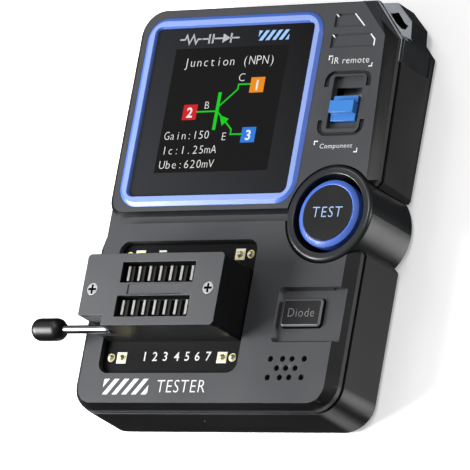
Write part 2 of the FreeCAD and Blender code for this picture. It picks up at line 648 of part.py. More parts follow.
# ---------------------------------------------------------------------------------------------
# Boards and what is soldered on them
# ---------------------------------------------------------------------------------------------
def boards():
    board = new_body("main_board")
    pad(board, [
        ("-board_half_wide", "-board_half_long", "1"), ("board_half_wide", "-board_half_long", "1"),
        ("board_half_wide", "board_lower", "1"), ("board_waist", "board_lower", "0"),
        ("board_waist", "barrel_along - board_arm_half", "0"),
        ("board_arm", "barrel_along - board_arm_half", "1"),
        ("board_arm", "barrel_along + board_arm_half", "1"),
        ("board_waist", "barrel_along + board_arm_half", "0"), ("board_waist", "board_upper", "0"),
        ("board_half_wide", "board_upper", "1"), ("board_half_wide", "board_half_long - 4", "1"),
        ("board_half_wide - 4.5", "board_half_long", "1"), ("-board_half_wide", "board_half_long", "1"),
    ], "board_top - board_thick", "board_thick")
    drill(board, [(x, y, "1.2") for x, y in STANDS], "board_top", "board_thick")
    deck = new_body("socket_board")
    pad(deck, rectangle("window_left + 0.1", "window_low + 0.1", "window_right - 0.1",
                        "window_high - 0.1", "2.2"), "deck_board_top - deck_board_thick",
        "deck_board_thick")
    drill(deck, [(f"contact_across + {step} * contact_pitch", f"socket_along {sign} row_half", "0.4")
                 for sign in "+-" for step in range(-3, 4)], "deck_board_top", "2")
    pins, pads_gold = [], []
    for column, x in enumerate(("pin_outer", "pin_inner", "pin_third", "pin_fourth")):
        for row, y in enumerate(("pin_low", "pin_high")):
            pins.append(block(f"pin_{column}_{row}", (f"{x} - pin_half", f"{y} - pin_half", "board_top"),
                              (f"{x} + pin_half", f"{y} + pin_half", "deck_board_top - deck_board_thick")))
            outer = column in (0, 3)
            if outer:
                pads_gold.append(round_bar(f"pad_{column}_{row}", (x, y, "deck_board_top"), "pad_radius",
                                           "pad_thick"))
            else:
                pads_gold.append(block(f"pad_{column}_{row}",
                                       (f"{x} - pad_half", f"{y} - pad_half", "deck_board_top"),
                                       (f"{x} + pad_half", f"{y} + pad_half",
                                        "deck_board_top + pad_thick")))
    group("header_pins", pins)
    group("solder_pads", pads_gold)
    chips = [
        block("chip_main", ("-15", "-8", "board_top"), ("-5", "2", "9.8")),
        block("chip_charge", ("-27.5", "24", "board_top"), ("-23.5", "29", "9.6")),
    ]
    group("board_chips", chips)
    can = round_bar("sounder_can", ("sound_across - sounder_left", "sound_along + sounder_up", "board_top"),
                    "sounder_radius", "sounder_high")
    port = round_bar("sounder_port", ("sound_across - sounder_left", "sound_along + sounder_up",
                                      "board_top + sounder_high - 1.2"), "0.9", "2")
    node(cut("sounder", can, [port]), "sounder")
    receiver = block("ir_receiver", ("21.5", "30.8", "board_top"), ("25.9", "32.4", "board_top + 3"))
    node(receiver, "ir_receiver")


# ---------------------------------------------------------------------------------------------
# Lever socket: base, cover, slider, contacts, lever with its handle, and two screws
# ---------------------------------------------------------------------------------------------
def lever_socket():
    left = "socket_across - socket_wide / 2"
    right = "socket_across + socket_wide / 2"
    low = "socket_along - socket_long / 2"
    high = "socket_along + socket_long / 2"
    notched = [
        (f"{left} + notch_wide", low, "0"), (right, low, "0.9"), (right, high, "0.9"),
        (left, high, "0.9"), (left, f"{low} + notch_long", "0.3"),
        (f"{left} + notch_wide", f"{low} + notch_long", "0"),
    ]
    rows = [f"socket_along {sign} row_half" for sign in "+-"]
    columns = [f"contact_across + {step} * contact_pitch" for step in range(-3, 4)]
    screws = [(f"socket_across - 0.1 {sign} socket_screw_across", "socket_along + 0.1") for sign in "-+"]

    cover = new_body("socket_cover")
    pad(cover, notched, "socket_split", "socket_top - socket_split")
    for row in rows:
        pocket(cover, rectangle("contact_across - row_wide / 2", f"{row} - row_long / 2",
                                "contact_across + row_wide / 2", f"{row} + row_long / 2"),
               "socket_top", "socket_top - socket_split")
    drill(cover, [(x, y, "1.3") for x, y in screws], "socket_top", "0.6")
    drill(cover, [(x, y, "0.75") for x, y in screws], "socket_top", "3")
    pocket(cover, rectangle("contact_across - 6.6", "socket_along - 1", "contact_across + 6.6",
                            "socket_along + 1"), "socket_top", "0.2")

    base = new_body("socket_base")
    pad(base, rectangle(f"{left} + 0.15", f"{low} + 0.15", f"{right} - 0.15", f"{high} - 0.15", "0.8"),
        "socket_foot", "socket_split - socket_foot")
    pocket(base, rectangle(f"{left} - 1", f"{low} - 1", f"{left} + notch_wide", f"{low} + notch_long"),
           "socket_split", "socket_split - 17.9")
    # bay of the slider, and the two troughs that hold the contacts
    pocket(base, rectangle("-19.7", f"{low} + 1.8", "3.6", f"{high} - 1.8"), "socket_split", "2.1")
    for row in rows:
        pocket(base, rectangle("contact_across - row_wide / 2", f"{row} - 1.8",
                               "contact_across + row_wide / 2", f"{row} + 1.8"), "socket_split", "7")
    drill(base, [(x, row, "0.4") for row in rows for x in columns], "socket_foot + 2", "2")
    drill(base, [(x, y, "0.75") for x, y in screws], "socket_split", "2")
    bore = circles(sketch_on(base, f"-({low})", "XZ_Plane"), [("pivot_across", "pivot_height", "0.9")])
    feature(base, "PartDesign::Pocket", bore, "13", False, -1)

    plate = block("slider_plate", ("slider_left", f"{low} + 2", "socket_split - slider_thick"),
                  ("slider_right", f"{high} - 2", "socket_split - 0.1"))
    slots = [block(f"slider_slot_{i}", ("contact_across - row_wide / 2 - 0.4", f"{row} - 1.9",
                                        "socket_split - 3"),
                   ("contact_across + row_wide / 2 - 0.1", f"{row} + 1.9", "socket_split + 1"))
             for i, row in enumerate(rows)]
    ribs = []
    for i, row in enumerate(rows):
        for step, column in enumerate(columns[:-1]):
            start = f"{column} + contact_thick / 2 + 0.15"
            ribs.append(block(f"slider_rib_{i}_{step}", (start, f"{row} - 2", "socket_split - slider_thick"),
                              (f"{start} + rib_thick", f"{row} + 2", "socket_split - 0.1")))
            ribs.append(block(f"slider_fin_{i}_{step}", (start, f"{row} - 1.6", "socket_split - 0.2"),
                              (f"{start} + rib_thick", f"{row} + 1.6", "socket_top - 1.2")))
    node(fuse("socket_slider", [cut("slider_frame", plate, slots)] + ribs), "socket_slider")

    blades = []
    for i, row in enumerate(rows):
        for step, column in enumerate(columns):
            blade = block(f"blade_{i}_{step}",
                          (f"{column} - contact_thick / 2", f"{row} - contact_half", "socket_foot + 1.8"),
                          (f"{column} + contact_thick / 2", f"{row} + contact_half", "socket_top - 0.9"))
            tail = block(f"tail_{i}_{step}", (f"{column} - tail_half", f"{row} - tail_half", "11.9"),
                         (f"{column} + tail_half", f"{row} + tail_half", "socket_foot + 1.9"))
            blades.append(fuse(f"contact_{i}_{step}", [blade, tail]))
    group("socket_contacts", blades)

    fixings = []
    for i, (x, y) in enumerate(screws):
        head = round_bar(f"socket_screw_head_{i}", (x, y, "socket_top - 0.6"),
                         "socket_screw_radius", "0.62")
        shank = round_bar(f"socket_screw_shank_{i}", (x, y, "socket_split - 1.9"), "0.7", "4")
        cross = [block(f"socket_screw_slot_{i}_{k}", (f"{x} - {wide}", f"{y} - {tall}", "socket_top - 0.45"),
                       (f"{x} + {wide}", f"{y} + {tall}", "socket_top + 1"))
                 for k, (wide, tall) in enumerate(((0.95, 0.24), (0.24, 0.95)))]
        fixings.append(cut(f"socket_screw_{i}", fuse(f"socket_screw_body_{i}", [head, shank]), cross))
    group("socket_screws", fixings)

    arm = round_bar("lever_arm", ("handle_start - 1", "pivot_along", "pivot_height"), "rod_radius",
                    "pivot_across - handle_start + 1", "x")
    shaft = round_bar("lever_shaft", ("pivot_across", "pivot_along", "pivot_height"), "rod_radius",
                      "11.6", "y")
    elbow = doc.addObject("Part::Sphere", "lever_elbow")
    bind(elbow, "Radius", "rod_radius")
    for axis, text in zip("xyz", ("pivot_across", "pivot_along", "pivot_height")):
        bind(elbow, f"Placement.Base.{axis}", text)
    node(fuse("socket_lever", [arm, shaft, elbow]), "socket_lever")

    handle = new_body("lever_handle")
    shape = outline(sketch_on(handle, "0", "XZ_Plane"), [
        ("0", "0", "0"), ("handle_radius", "0", "handle_round"),
        ("handle_radius", "handle_start - handle_end", "handle_round"),
        ("0", "handle_start - handle_end", "0"),
    ])
    turn = handle.newObject("PartDesign::Revolution", "lever_handle_turn")
    turn.Profile = shape
    turn.ReferenceAxis = (shape, ["V_Axis"])
    turn.Angle = 360
    doc.recompute()
    drill(handle, [("0", "0", "rod_radius")], "handle_start - handle_end", "1")
    handle.Placement = Placement(Vector(0, 0, 0), Rotation(Vector(0, 1, 0), 90))
    for axis, text in zip("xyz", ("handle_end", "pivot_along", "pivot_height")):
        bind(handle, f"Placement.Base.{axis}", text)


# ---------------------------------------------------------------------------------------------
# Supply: charging socket, cell, leads and plug
# ---------------------------------------------------------------------------------------------
def supply():
    usb = new_body("usb_socket")
    shell = outline(sketch_on(usb, "0", "XZ_Plane"), rectangle(
        "-usb_half", "-usb_rise", "usb_half", "usb_rise", "usb_rise - 0.05"))
    feature(usb, "PartDesign::Pad", shell, "usb_deep", True, 1)
    hollow = outline(sketch_on(usb, "-usb_deep", "XZ_Plane"), rectangle(
        "-usb_half + usb_skin", "-usb_rise + usb_skin", "usb_half - usb_skin", "usb_rise - usb_skin",
        "usb_rise - usb_skin - 0.05"))
    feature(usb, "PartDesign::Pocket", hollow, "usb_deep - 1", True, -1)
    tongue = outline(sketch_on(usb, "-0.9", "XZ_Plane"), rectangle("-3.3", "-0.35", "3.3", "0.35"))
    feature(usb, "PartDesign::Pad", tongue, "5.6", True, 1)
    bind(usb, "Placement.Base.x", "usb_across")
    bind(usb, "Placement.Base.y", "half_long - 8")
    bind(usb, "Placement.Base.z", "usb_height")
    cell = new_body("battery_cell")
    pad(cell, rectangle("cell_left", "-cell_half", "cell_right", "cell_half", "1.5"),
        "floor_thick + 0.1", "cell_thick")
    for name, x in (("red", "-11"), ("black", "-9")):
        lead = round_bar(f"battery_lead_{name}", (x, "cell_half", "lead_height"), "lead_radius",
                         "plug_low - cell_half", "y")
        node(lead, f"battery_lead_{name}")
    plug = block("battery_plug", ("-13", "plug_low", "4.3"), ("-7", "plug_high", "board_top - board_thick"))
    node(plug, "battery_plug")


def fasteners():
    case = []
    for i, (x, y) in enumerate(POSTS):
        head = round_bar(f"case_screw_head_{i}", (x, y, "0.9"), "screw_head", "1.5")
        shank = round_bar(f"case_screw_shank_{i}", (x, y, "2.3"), "screw_radius", "9")
        slots = [block(f"case_screw_slot_{i}_{k}", (f"{x} - {wide}", f"{y} - {tall}", "0"),
                       (f"{x} + {wide}", f"{y} + {tall}", "1.6"))
                 for k, (wide, tall) in enumerate(((1.2, 0.25), (0.25, 1.2)))]
        case.append(cut(f"case_screw_{i}", fuse(f"case_screw_body_{i}", [head, shank]), slots))
    group("case_screws", case)
    board = []
    for i, (x, y) in enumerate(STANDS):
        head = round_bar(f"board_screw_head_{i}", (x, y, "board_top"), "1.8", "1.1")
        shank = round_bar(f"board_screw_shank_{i}", (x, y, "board_top - 5"), "0.8", "5.2")
        board.append(fuse(f"board_screw_{i}", [head, shank]))
    group("board_screws", board)


rear_shell()
front_shell()
infrared_window()
round_button()
small_button()
slide_switch()
display()
boards()
lever_socket()
supply()
fasteners()
doc.recompute()
failed = [item.Name for item in doc.Objects if {"Invalid", "Error"} & set(item.State)]
failed += [item.Label for item in NODES if item.Shape.isNull() or not item.Shape.isValid()]
if failed:
    raise RuntimeError(f"not built: {failed}")
os.makedirs("parts", exist_ok=True)
for item in NODES:
    item.Shape.exportStep(f"parts/{item.Label}.step")
print("wrote", len(NODES), "parts")
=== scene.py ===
# %% [markdown]
# # A hand-held component tester
#
# The real object is a small case of two moulded shells with a colour display in a blue frame, a
# lever socket for loose parts, a round button with a blue ring in its own barrel, a small side
# key, a slide switch and a smoky infrared window. The mechanical model is loaded first and stays
# as it is. Blender adds rounded edges, finishes, prints and the picture on the display.

# %% Load the mechanical model as a fixed frame
import json
import math

import bmesh
import bpy
from mathutils import Matrix, Vector

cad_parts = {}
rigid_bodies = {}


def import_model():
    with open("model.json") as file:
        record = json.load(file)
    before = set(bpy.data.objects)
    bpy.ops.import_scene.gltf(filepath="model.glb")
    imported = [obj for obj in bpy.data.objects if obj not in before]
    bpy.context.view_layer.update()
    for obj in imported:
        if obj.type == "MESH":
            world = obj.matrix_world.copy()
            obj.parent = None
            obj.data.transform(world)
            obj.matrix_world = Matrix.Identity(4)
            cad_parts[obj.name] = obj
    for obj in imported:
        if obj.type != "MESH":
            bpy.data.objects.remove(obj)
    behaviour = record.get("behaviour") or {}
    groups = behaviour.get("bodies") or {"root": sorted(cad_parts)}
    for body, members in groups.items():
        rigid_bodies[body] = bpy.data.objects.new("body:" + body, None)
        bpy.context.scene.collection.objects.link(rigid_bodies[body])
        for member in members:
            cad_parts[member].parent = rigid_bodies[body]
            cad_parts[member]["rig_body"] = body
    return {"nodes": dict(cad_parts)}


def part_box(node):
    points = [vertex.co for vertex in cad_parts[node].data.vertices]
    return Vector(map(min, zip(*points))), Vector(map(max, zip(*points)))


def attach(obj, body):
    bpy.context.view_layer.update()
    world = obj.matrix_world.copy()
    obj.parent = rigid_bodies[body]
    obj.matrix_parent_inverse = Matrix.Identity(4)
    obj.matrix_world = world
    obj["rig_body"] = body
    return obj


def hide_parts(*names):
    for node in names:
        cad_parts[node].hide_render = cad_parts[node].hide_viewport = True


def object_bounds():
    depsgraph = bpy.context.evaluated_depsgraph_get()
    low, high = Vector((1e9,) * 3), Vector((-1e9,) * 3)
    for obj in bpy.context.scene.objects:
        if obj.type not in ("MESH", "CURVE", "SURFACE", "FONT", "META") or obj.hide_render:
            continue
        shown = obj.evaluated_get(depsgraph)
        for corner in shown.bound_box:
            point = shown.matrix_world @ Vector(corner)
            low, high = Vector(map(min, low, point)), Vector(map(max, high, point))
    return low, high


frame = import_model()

MM = 0.001
cad_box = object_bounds()

# %% [markdown]
# ## Colours and nodes
#
# Artists write colours as sRGB hex values, while shader sockets want linear light, so one function
# converts them. A second one adds a node, sets it up and links it in a single call, so a finish
# reads as a list of what goes into what.
#
# Every finish begins with an empty tree and the object coordinates that its patterns read, and
# ends in one Principled shader. A value that is the same all over the surface goes on the
# shader's own socket, and only what varies is linked.

# %% Helpers for every finish
def linear(hex_colour):
    """'#rrggbb' in sRGB to the linear RGBA that a socket takes."""
    parts = [int(hex_colour[i:i + 2], 16) / 255 for i in (1, 3, 5)]
    light = [c / 12.92 if c <= 0.04045 else ((c + 0.055) / 1.055) ** 2.4 for c in parts]
    return (*light, 1.0)


def add(tree, kind, settings=None, inputs=None):
    """Add a node. An input that is a socket is linked, anything else is set as its value."""
    node = tree.nodes.new(kind)
    for name, value in (settings or {}).items():
        setattr(node, name, value)
    for name, value in (inputs or {}).items():
        if isinstance(value, bpy.types.NodeSocket):
            tree.links.new(value, node.inputs[name])
        else:
            node.inputs[name].default_value = value
    return node


def start_finish(name):
    """A material with an empty tree, and the object coordinates for its patterns."""
    finish = bpy.data.materials.new(name)
    finish.use_nodes = True
    tree = finish.node_tree
    tree.nodes.clear()
    return finish, tree, add(tree, "ShaderNodeTexCoord").outputs["Object"]


def end_finish(tree, surface):
    """Add the Principled shader, with its constants and links, and the output."""
    shader = add(tree, "ShaderNodeBsdfPrincipled", inputs=surface)
    add(tree, "ShaderNodeOutputMaterial", inputs={"Surface": shader.outputs["BSDF"]})


# %% [markdown]
# ## Objects and meshes
#
# An object is only a holder for data, and nothing shows until a scene links it. Modifiers are
# live recipes: their result becomes a plain mesh when it is read off the evaluated object.

# %% Helpers for objects
def shown(name, data):
    """A new object in the scene that holds this mesh, curve, camera or lamp."""
    holder = bpy.data.objects.new(name, data)
    bpy.context.scene.collection.objects.link(holder)
    return holder


def evaluated_mesh(holder):
    """What an object's curve or modifiers make, as a plain mesh."""
    bpy.context.view_layer.update()
    evaluated = holder.evaluated_get(bpy.context.evaluated_depsgraph_get())
    return bpy.data.meshes.new_from_object(evaluated)


# %% [markdown]
# ## Moulded plastic
#
# The case is injection-moulded ABS from a spark-eroded mould, which leaves a fine matt grain
# about 0.1 mm across, drawn here at 0.16 mm so that it shows. Grain is a bump, not a colour. A
# second, much larger noise varies colour and gloss a little, as handling and flow do.

# %% Moulded plastic
PLASTIC_IOR = 1.53
DRIFT_MM = 14.0
GLOSS_SPREAD = 0.05


def moulded_plastic(name, colour, other, roughness, grain_mm=0.16, grain_depth_mm=0.004,
                    coat=0.0, shine=0.5):
    """Opaque moulded plastic: two close colours in soft drifts, and a fine grain bump."""
    finish, tree, place = start_finish(name)
    drift = add(tree, "ShaderNodeTexNoise", inputs={
        "Vector": place, "Scale": 1 / (DRIFT_MM * MM), "Detail": 3.0})
    tone = add(tree, "ShaderNodeMix", {"data_type": "RGBA"}, {
        "Factor": drift.outputs["Fac"], "A": linear(colour), "B": linear(other)})
    grain = add(tree, "ShaderNodeTexNoise", inputs={
        "Vector": place, "Scale": 1 / (grain_mm * MM), "Detail": 2.0, "Roughness": 0.6})
    gloss = add(tree, "ShaderNodeMapRange", inputs={
        "Value": drift.outputs["Fac"], "From Min": 0.3, "From Max": 0.7,
        "To Min": roughness - GLOSS_SPREAD, "To Max": roughness + GLOSS_SPREAD})
    bump = add(tree, "ShaderNodeBump", inputs={
        "Height": grain.outputs["Fac"], "Strength": 0.6, "Distance": grain_depth_mm * MM})
    end_finish(tree, {
        "IOR": PLASTIC_IOR, "Specular IOR Level": shine, "Coat Weight": coat,
        "Coat Roughness": 0.12, "Base Color": tone.outputs["Result"],
        "Roughness": gloss.outputs["Result"], "Normal": bump.outputs["Normal"]})
    return finish


# %% [markdown]
# ## Plastics of the case and its controls
#
# All these parts are near black, so what tells them apart is how they return light: a matt
# front, a smoother tray, a streak on the barrel. Each colour comes as a close pair, and the
# drift wanders between the two.

# %% Plastics outside
# Case front: mid graphite, matt, so its flats stay even and only its edges catch a line of light.
housing_abs = moulded_plastic("moulded_abs_graphite", "#303134", "#36373a", 0.42, shine=0.4)
# Rear tray, and the front's slopes and grooves: the same plastic made near black as painted shade,
# so that walls and hollows drop back, and a little smoother.
painted_shade_abs = moulded_plastic("moulded_abs_painted_shade", "#0d0d0f", "#121214", 0.34)
# Barrel: dark and the smoothest of the case parts, which gives its side a long soft streak.
barrel_abs = moulded_plastic("satin_abs_charcoal", "#18191b", "#1e1f21", 0.3)
# Cap and key: black with the soft sheen of a touched surface.
button_abs = moulded_plastic("moulded_abs_black", "#0e0e10", "#131315", 0.38, shine=0.3)
# Key's edge: the same black with a painted highlight, a paler, shinier line round its top.
key_edge_painted_highlight = moulded_plastic("moulded_abs_painted_edge_highlight", "#5a5c5f", "#6c6e71", 0.3)
# Window's well, screw slots and the band round the board: dull black, painted shade, so that a
# hollow reads as deep.
painted_shade_black = moulded_plastic("painted_shade_matt_black", "#020202", "#040404", 0.7, shine=0.05)
# Frame's raised band: a paler cornflower than its slopes, painted light, so the ring reads as two
# steps.
frame_band_painted_light = moulded_plastic("moulded_abs_cornflower_painted_light", "#7489c0", "#7c91c8", 0.3,
                           grain_depth_mm=0.001, coat=0.25)
# Frame's slopes and the button's ring: clear cornflower blue from a polished mould.
blue_abs = moulded_plastic("moulded_abs_cornflower", "#4166c0", "#486dc8", 0.34,
                           grain_depth_mm=0.001, coat=0.25)
# Slide tab: acetal, slick under the thumb and a deeper blue.
tab_pom = moulded_plastic("moulded_acetal_blue", "#2b6cb4", "#3274bc", 0.32,
                          grain_depth_mm=0.001, coat=0.15)
# Socket cover: glass fibre in the PBT leaves a coarser, drier grain than the case has.
cover_pbt = moulded_plastic("glass_filled_pbt_grey", "#323437", "#383a3d", 0.5,
                            grain_mm=0.22, grain_depth_mm=0.008)
# Socket base: the same filled plastic in black, so the grey cover stands out from it. The same black
# is painted shade on the cover's sides.
base_pbt_and_side_shade = moulded_plastic("glass_filled_pbt_black", "#08080a", "#0d0d0f", 0.45,
                           grain_mm=0.22, grain_depth_mm=0.006, shine=0.25)
# Lever handle: dipped PVC levels as it sets, so it has hardly any grain, only a soft highlight.
handle_pvc = moulded_plastic("dipped_pvc_black", "#060607", "#0a0a0b", 0.36,
                             grain_depth_mm=0.0005, shine=0.35)

# %% [markdown]
# ## Plastics inside the case
#
# These parts are hidden until the case is opened. The same function serves them, with the grain
# almost gone on wires and film, which are extruded or cast and not moulded.

# %% Plastics inside
# Chips, switches and sounder: moulding epoxy, dry and grey-black.
chip_epoxy = moulded_plastic("chip_moulding_epoxy", "#1b1b1c", "#222224", 0.55)
# Stems, plug and display holder: undyed nylon, a warm off-white.
nylon_white = moulded_plastic("natural_nylon", "#d8d6cc", "#e2e0d6", 0.4)
# Battery leads: extruded PVC, smooth, with one clean highlight each.
wire_red = moulded_plastic("pvc_wire_red", "#9c1512", "#a81a16", 0.35, grain_depth_mm=0.0005)
wire_black = moulded_plastic("pvc_wire_black", "#121212", "#181818", 0.35, grain_depth_mm=0.0005)
# Display ribbon: polyimide film, amber and glossy.
ribbon_film = moulded_plastic("polyimide_film_amber", "#a8641c", "#b26f26", 0.25,
                              grain_depth_mm=0.0005)

# %% [markdown]
# ## Smoky window
#
# The infrared window is polycarbonate with a dye that blocks some of the light. A share of the
# light goes through, and its moulded skin stays glossy. Its upper faces get a pale grey instead,
# painted light where they face up, and let less light through.
#
# Flow in the mould leaves blots of about 5 mm. One noise of that size drives both the tone and
# the roughness, and the same recipe serves inks, whose blots are far smaller.

# %% Dyed polycarbonate
def mottled(name, colour, other, blot_mm, smoothest, roughest, constants):
    """Two close colours in blots of one size, which also vary the roughness."""
    finish, tree, place = start_finish(name)
    blots = add(tree, "ShaderNodeTexNoise", inputs={
        "Vector": place, "Scale": 1 / (blot_mm * MM), "Detail": 2.0})
    tone = add(tree, "ShaderNodeMix", {"data_type": "RGBA"}, {
        "Factor": blots.outputs["Fac"], "A": linear(colour), "B": linear(other)})
    gloss = add(tree, "ShaderNodeMapRange", inputs={
        "Value": blots.outputs["Fac"], "To Min": smoothest, "To Max": roughest})
    end_finish(tree, {
        **constants, "Base Color": tone.outputs["Result"], "Roughness": gloss.outputs["Result"]})
    return finish


def dyed_polycarbonate(name, colour, other, share):
    """Glossy clear plastic whose dye lets this share of the light through."""
    return mottled(name, colour, other, 5.0, 0.12, 0.26, {
        "IOR": 1.58, "Transmission Weight": share, "Coat Weight": 0.4, "Coat Roughness": 0.05})


# Window's sides: nearly black, with a little depth where the wall is thin.
window_pc = dyed_polycarbonate("smoky_polycarbonate", "#1e2124", "#26292d", 0.3)
# Window's upper faces: painted light, a pale grey against the dark sides.
window_top_painted_light = dyed_polycarbonate("polycarbonate_painted_top_light", "#9498a0", "#a8acb3", 0.08)

# %% [markdown]
# ## Metals
#
# The lever is a drawn steel rod with bright nickel on it, so fine lines run along it. The screws
# and spring contacts are plated steel too. A metal needs full metallic and the default IOR;
# what sets one apart is its tint, its roughness and the direction of its marks.

# %% Plated metals
def plated_metal(name, colour, other, roughness, stretch=(1, 1, 1), mark_mm=0.3, depth_mm=0.002):
    """Metal with fine marks, drawn out along one axis where stretch is small on that axis."""
    finish, tree, place = start_finish(name)
    drawn = add(tree, "ShaderNodeMapping", inputs={"Vector": place, "Scale": stretch})
    marks = add(tree, "ShaderNodeTexNoise", inputs={
        "Vector": drawn.outputs["Vector"], "Scale": 1 / (mark_mm * MM), "Detail": 3.0})
    tone = add(tree, "ShaderNodeMix", {"data_type": "RGBA"}, {
        "Factor": marks.outputs["Fac"], "A": linear(colour), "B": linear(other)})
    gloss = add(tree, "ShaderNodeMapRange", inputs={
        "Value": marks.outputs["Fac"], "To Min": roughness * 0.7, "To Max": roughness * 1.4})
    bump = add(tree, "ShaderNodeBump", inputs={
        "Height": marks.outputs["Fac"], "Strength": 0.3, "Distance": depth_mm * MM})
    end_finish(tree, {
        "Metallic": 1.0, "Base Color": tone.outputs["Result"],
        "Roughness": gloss.outputs["Result"], "Normal": bump.outputs["Normal"]})
    return finish


# Lever rod: bright nickel with long draw lines, so a narrow highlight runs along it.
rod_nickel = plated_metal("drawn_rod_bright_nickel", "#b4b6ba", "#c6c8cc", 0.16, (0.06, 1, 1))
# Screws: zinc plate, paler than nickel and with a softer shine.
screw_zinc = plated_metal("screw_zinc_plate", "#c2c4c4", "#d6d8d8", 0.32, mark_mm=0.15)
# Spring contacts: tin plate, which shows as pale strips in the dark slots.
contact_tin = plated_metal("spring_contact_tin", "#c9c8c4", "#dedcd8", 0.3, mark_mm=0.2)
# Pads and header pins: a thin flash of gold over nickel, pale yellow and half matt.
pin_gold = plated_metal("pad_immersion_gold", "#d8c88a", "#e8dca4", 0.5, mark_mm=0.2)
# Solder: bright tin with a slight ripple from its setting.
solder_tin = plated_metal("solder_bright", "#d9d8c4", "#f0efe0", 0.42, mark_mm=0.4)
# Shells of the slide switch and the charging socket: stamped steel with lines along its length.
switch_steel = plated_metal("switch_stamped_steel", "#a6a8aa", "#b6b8ba", 0.34, (1, 0.1, 1))
# Cell: an aluminium foil pouch with broad, shallow wrinkles.
cell_foil = plated_metal("cell_aluminium_foil", "#b4b6b8", "#c8cacc", 0.4, mark_mm=1.2,
                         depth_mm=0.02)

# %% [markdown]
# ## Solder mask
#
# Solder mask is a thin lacquer over copper, so tracks show as faint steps. Tracks run straight
# or at 45 degrees, and so do the cell edges of a pattern measured along the two board axes. Its
# cells are 1.27 mm, half the pitch of the pins.

# %% Black solder mask
def solder_mask(name, colour, other, track_mm=1.27):
    """Lacquer over tracks: a raised step with a slightly different tone, and a speckled gloss."""
    finish, tree, place = start_finish(name)
    tracks = add(tree, "ShaderNodeTexVoronoi", {"distance": "MANHATTAN", "feature": "F1"}, {
        "Vector": place, "Scale": 1 / (track_mm * MM), "Randomness": 0.35})
    step = add(tree, "ShaderNodeMapRange", {"interpolation_type": "SMOOTHSTEP"}, {
        "Value": tracks.outputs["Distance"], "From Min": 0.32, "From Max": 0.4})
    tone = add(tree, "ShaderNodeMix", {"data_type": "RGBA"}, {
        "Factor": step.outputs["Result"], "A": linear(colour), "B": linear(other)})
    speckle = add(tree, "ShaderNodeTexNoise", inputs={
        "Vector": place, "Scale": 1 / (0.6 * MM)})
    gloss = add(tree, "ShaderNodeMapRange", inputs={
        "Value": speckle.outputs["Fac"], "To Min": 0.32, "To Max": 0.5})
    bump = add(tree, "ShaderNodeBump", inputs={
        "Height": step.outputs["Result"], "Strength": 0.35, "Distance": 0.03 * MM})
    end_finish(tree, {
        "IOR": 1.5, "Specular IOR Level": 0.1, "Base Color": tone.outputs["Result"],
        "Roughness": gloss.outputs["Result"], "Normal": bump.outputs["Normal"]})
    return finish


# Both boards: deep black with a dull gloss, so white print and gold pads stand out.
board_mask = solder_mask("solder_mask_black", "#070708", "#0d0d0e")

# %% [markdown]
# ## Inks
#
# Inks are screen-printed, matt and very slightly uneven, because the mesh of the screen lays
# down dots about 0.4 mm apart. Some are given a trace of painted glow, though ink makes no light,
# which keeps small letters clear where the lamps are weak.

# %% Screen-printed inks
def printed_ink(name, colour, other, roughness=0.5, metallic=0.0, glow=0.0):
    """Matt ink in two close tones, with a painted glow of strength glow. Silver ink has some metal
    flake in it.
    """
    return mottled(name, colour, other, 0.4, roughness - 0.08, roughness + 0.08, {
        "Metallic": metallic, "Emission Color": linear(colour), "Emission Strength": glow})


# Case and board: white, a little grey, so it doesn't glare on the dark plastic.
ink_white = printed_ink("screen_ink_white", "#c4c5c6", "#d2d2d2", glow=0.1)
# Key: mid grey, which makes its word quieter than the rest.
ink_grey = printed_ink("screen_ink_grey", "#6c6e72", "#76787c")
# Round button: a dusty pale blue that goes with its ring.
ink_pale_blue = printed_ink("screen_ink_pale_blue", "#7f9cc0", "#8aa6c8", glow=0.15)
# Symbols above the display: silver flake, so they glint more than their faint painted glow shows.
ink_silver = printed_ink("screen_ink_silver", "#84878b", "#b0b4b8", 0.34, 0.3, glow=0.05)
# Stripes above the display: light blue.
ink_sky = printed_ink("screen_ink_sky", "#7397c4", "#7fa3cc", glow=0.1)

# %% [markdown]
# ## Lit cells
#
# A display makes light of its own, so its colours are emission over an almost black surface.
# The 0.204 mm cells of a 1.44 inch panel stand in a grid that is a little darker.

# %% Lit cells of the display
def lit_cells(name, colour, strength, cell_mm=0.204):
    """Light from a field of coloured cells, with dimmer lines between them."""
    finish, tree, place = start_finish(name)
    grid = add(tree, "ShaderNodeTexBrick", {"offset": 0.0, "squash": 1.0}, {
        "Vector": place, "Scale": 1.0, "Mortar Size": 0.06 * cell_mm * MM, "Mortar Smooth": 0.3,
        "Brick Width": cell_mm * MM, "Row Height": cell_mm * MM, "Bias": 0.0,
        "Color1": linear(colour), "Color2": linear(colour),
        "Mortar": tuple(0.55 * c for c in linear(colour)[:3]) + (1.0,)})
    end_finish(tree, {
        "Base Color": linear("#050505"), "Roughness": 0.25, "Specular IOR Level": 0.2,
        "Emission Strength": strength, "Emission Color": grid.outputs["Color"]})
    return finish


# Resting cells: a display's black still leaks some light.
cell_dark = lit_cells("display_dark_cells", "#0b0b0c", 0.35)
# Words and read-outs: the brightest, so thin strokes hold up.
cell_white = lit_cells("display_white_cells", "#f0f0ee", 1.1)
# Symbol and its three terminals: full signal colours.
cell_green = lit_cells("display_green_cells", "#0be21c", 0.9)
cell_red = lit_cells("display_red_cells", "#e01b26", 0.9)
cell_orange = lit_cells("display_orange_cells", "#ff9a12", 0.9)
cell_blue = lit_cells("display_blue_cells", "#2f86ee", 0.9)
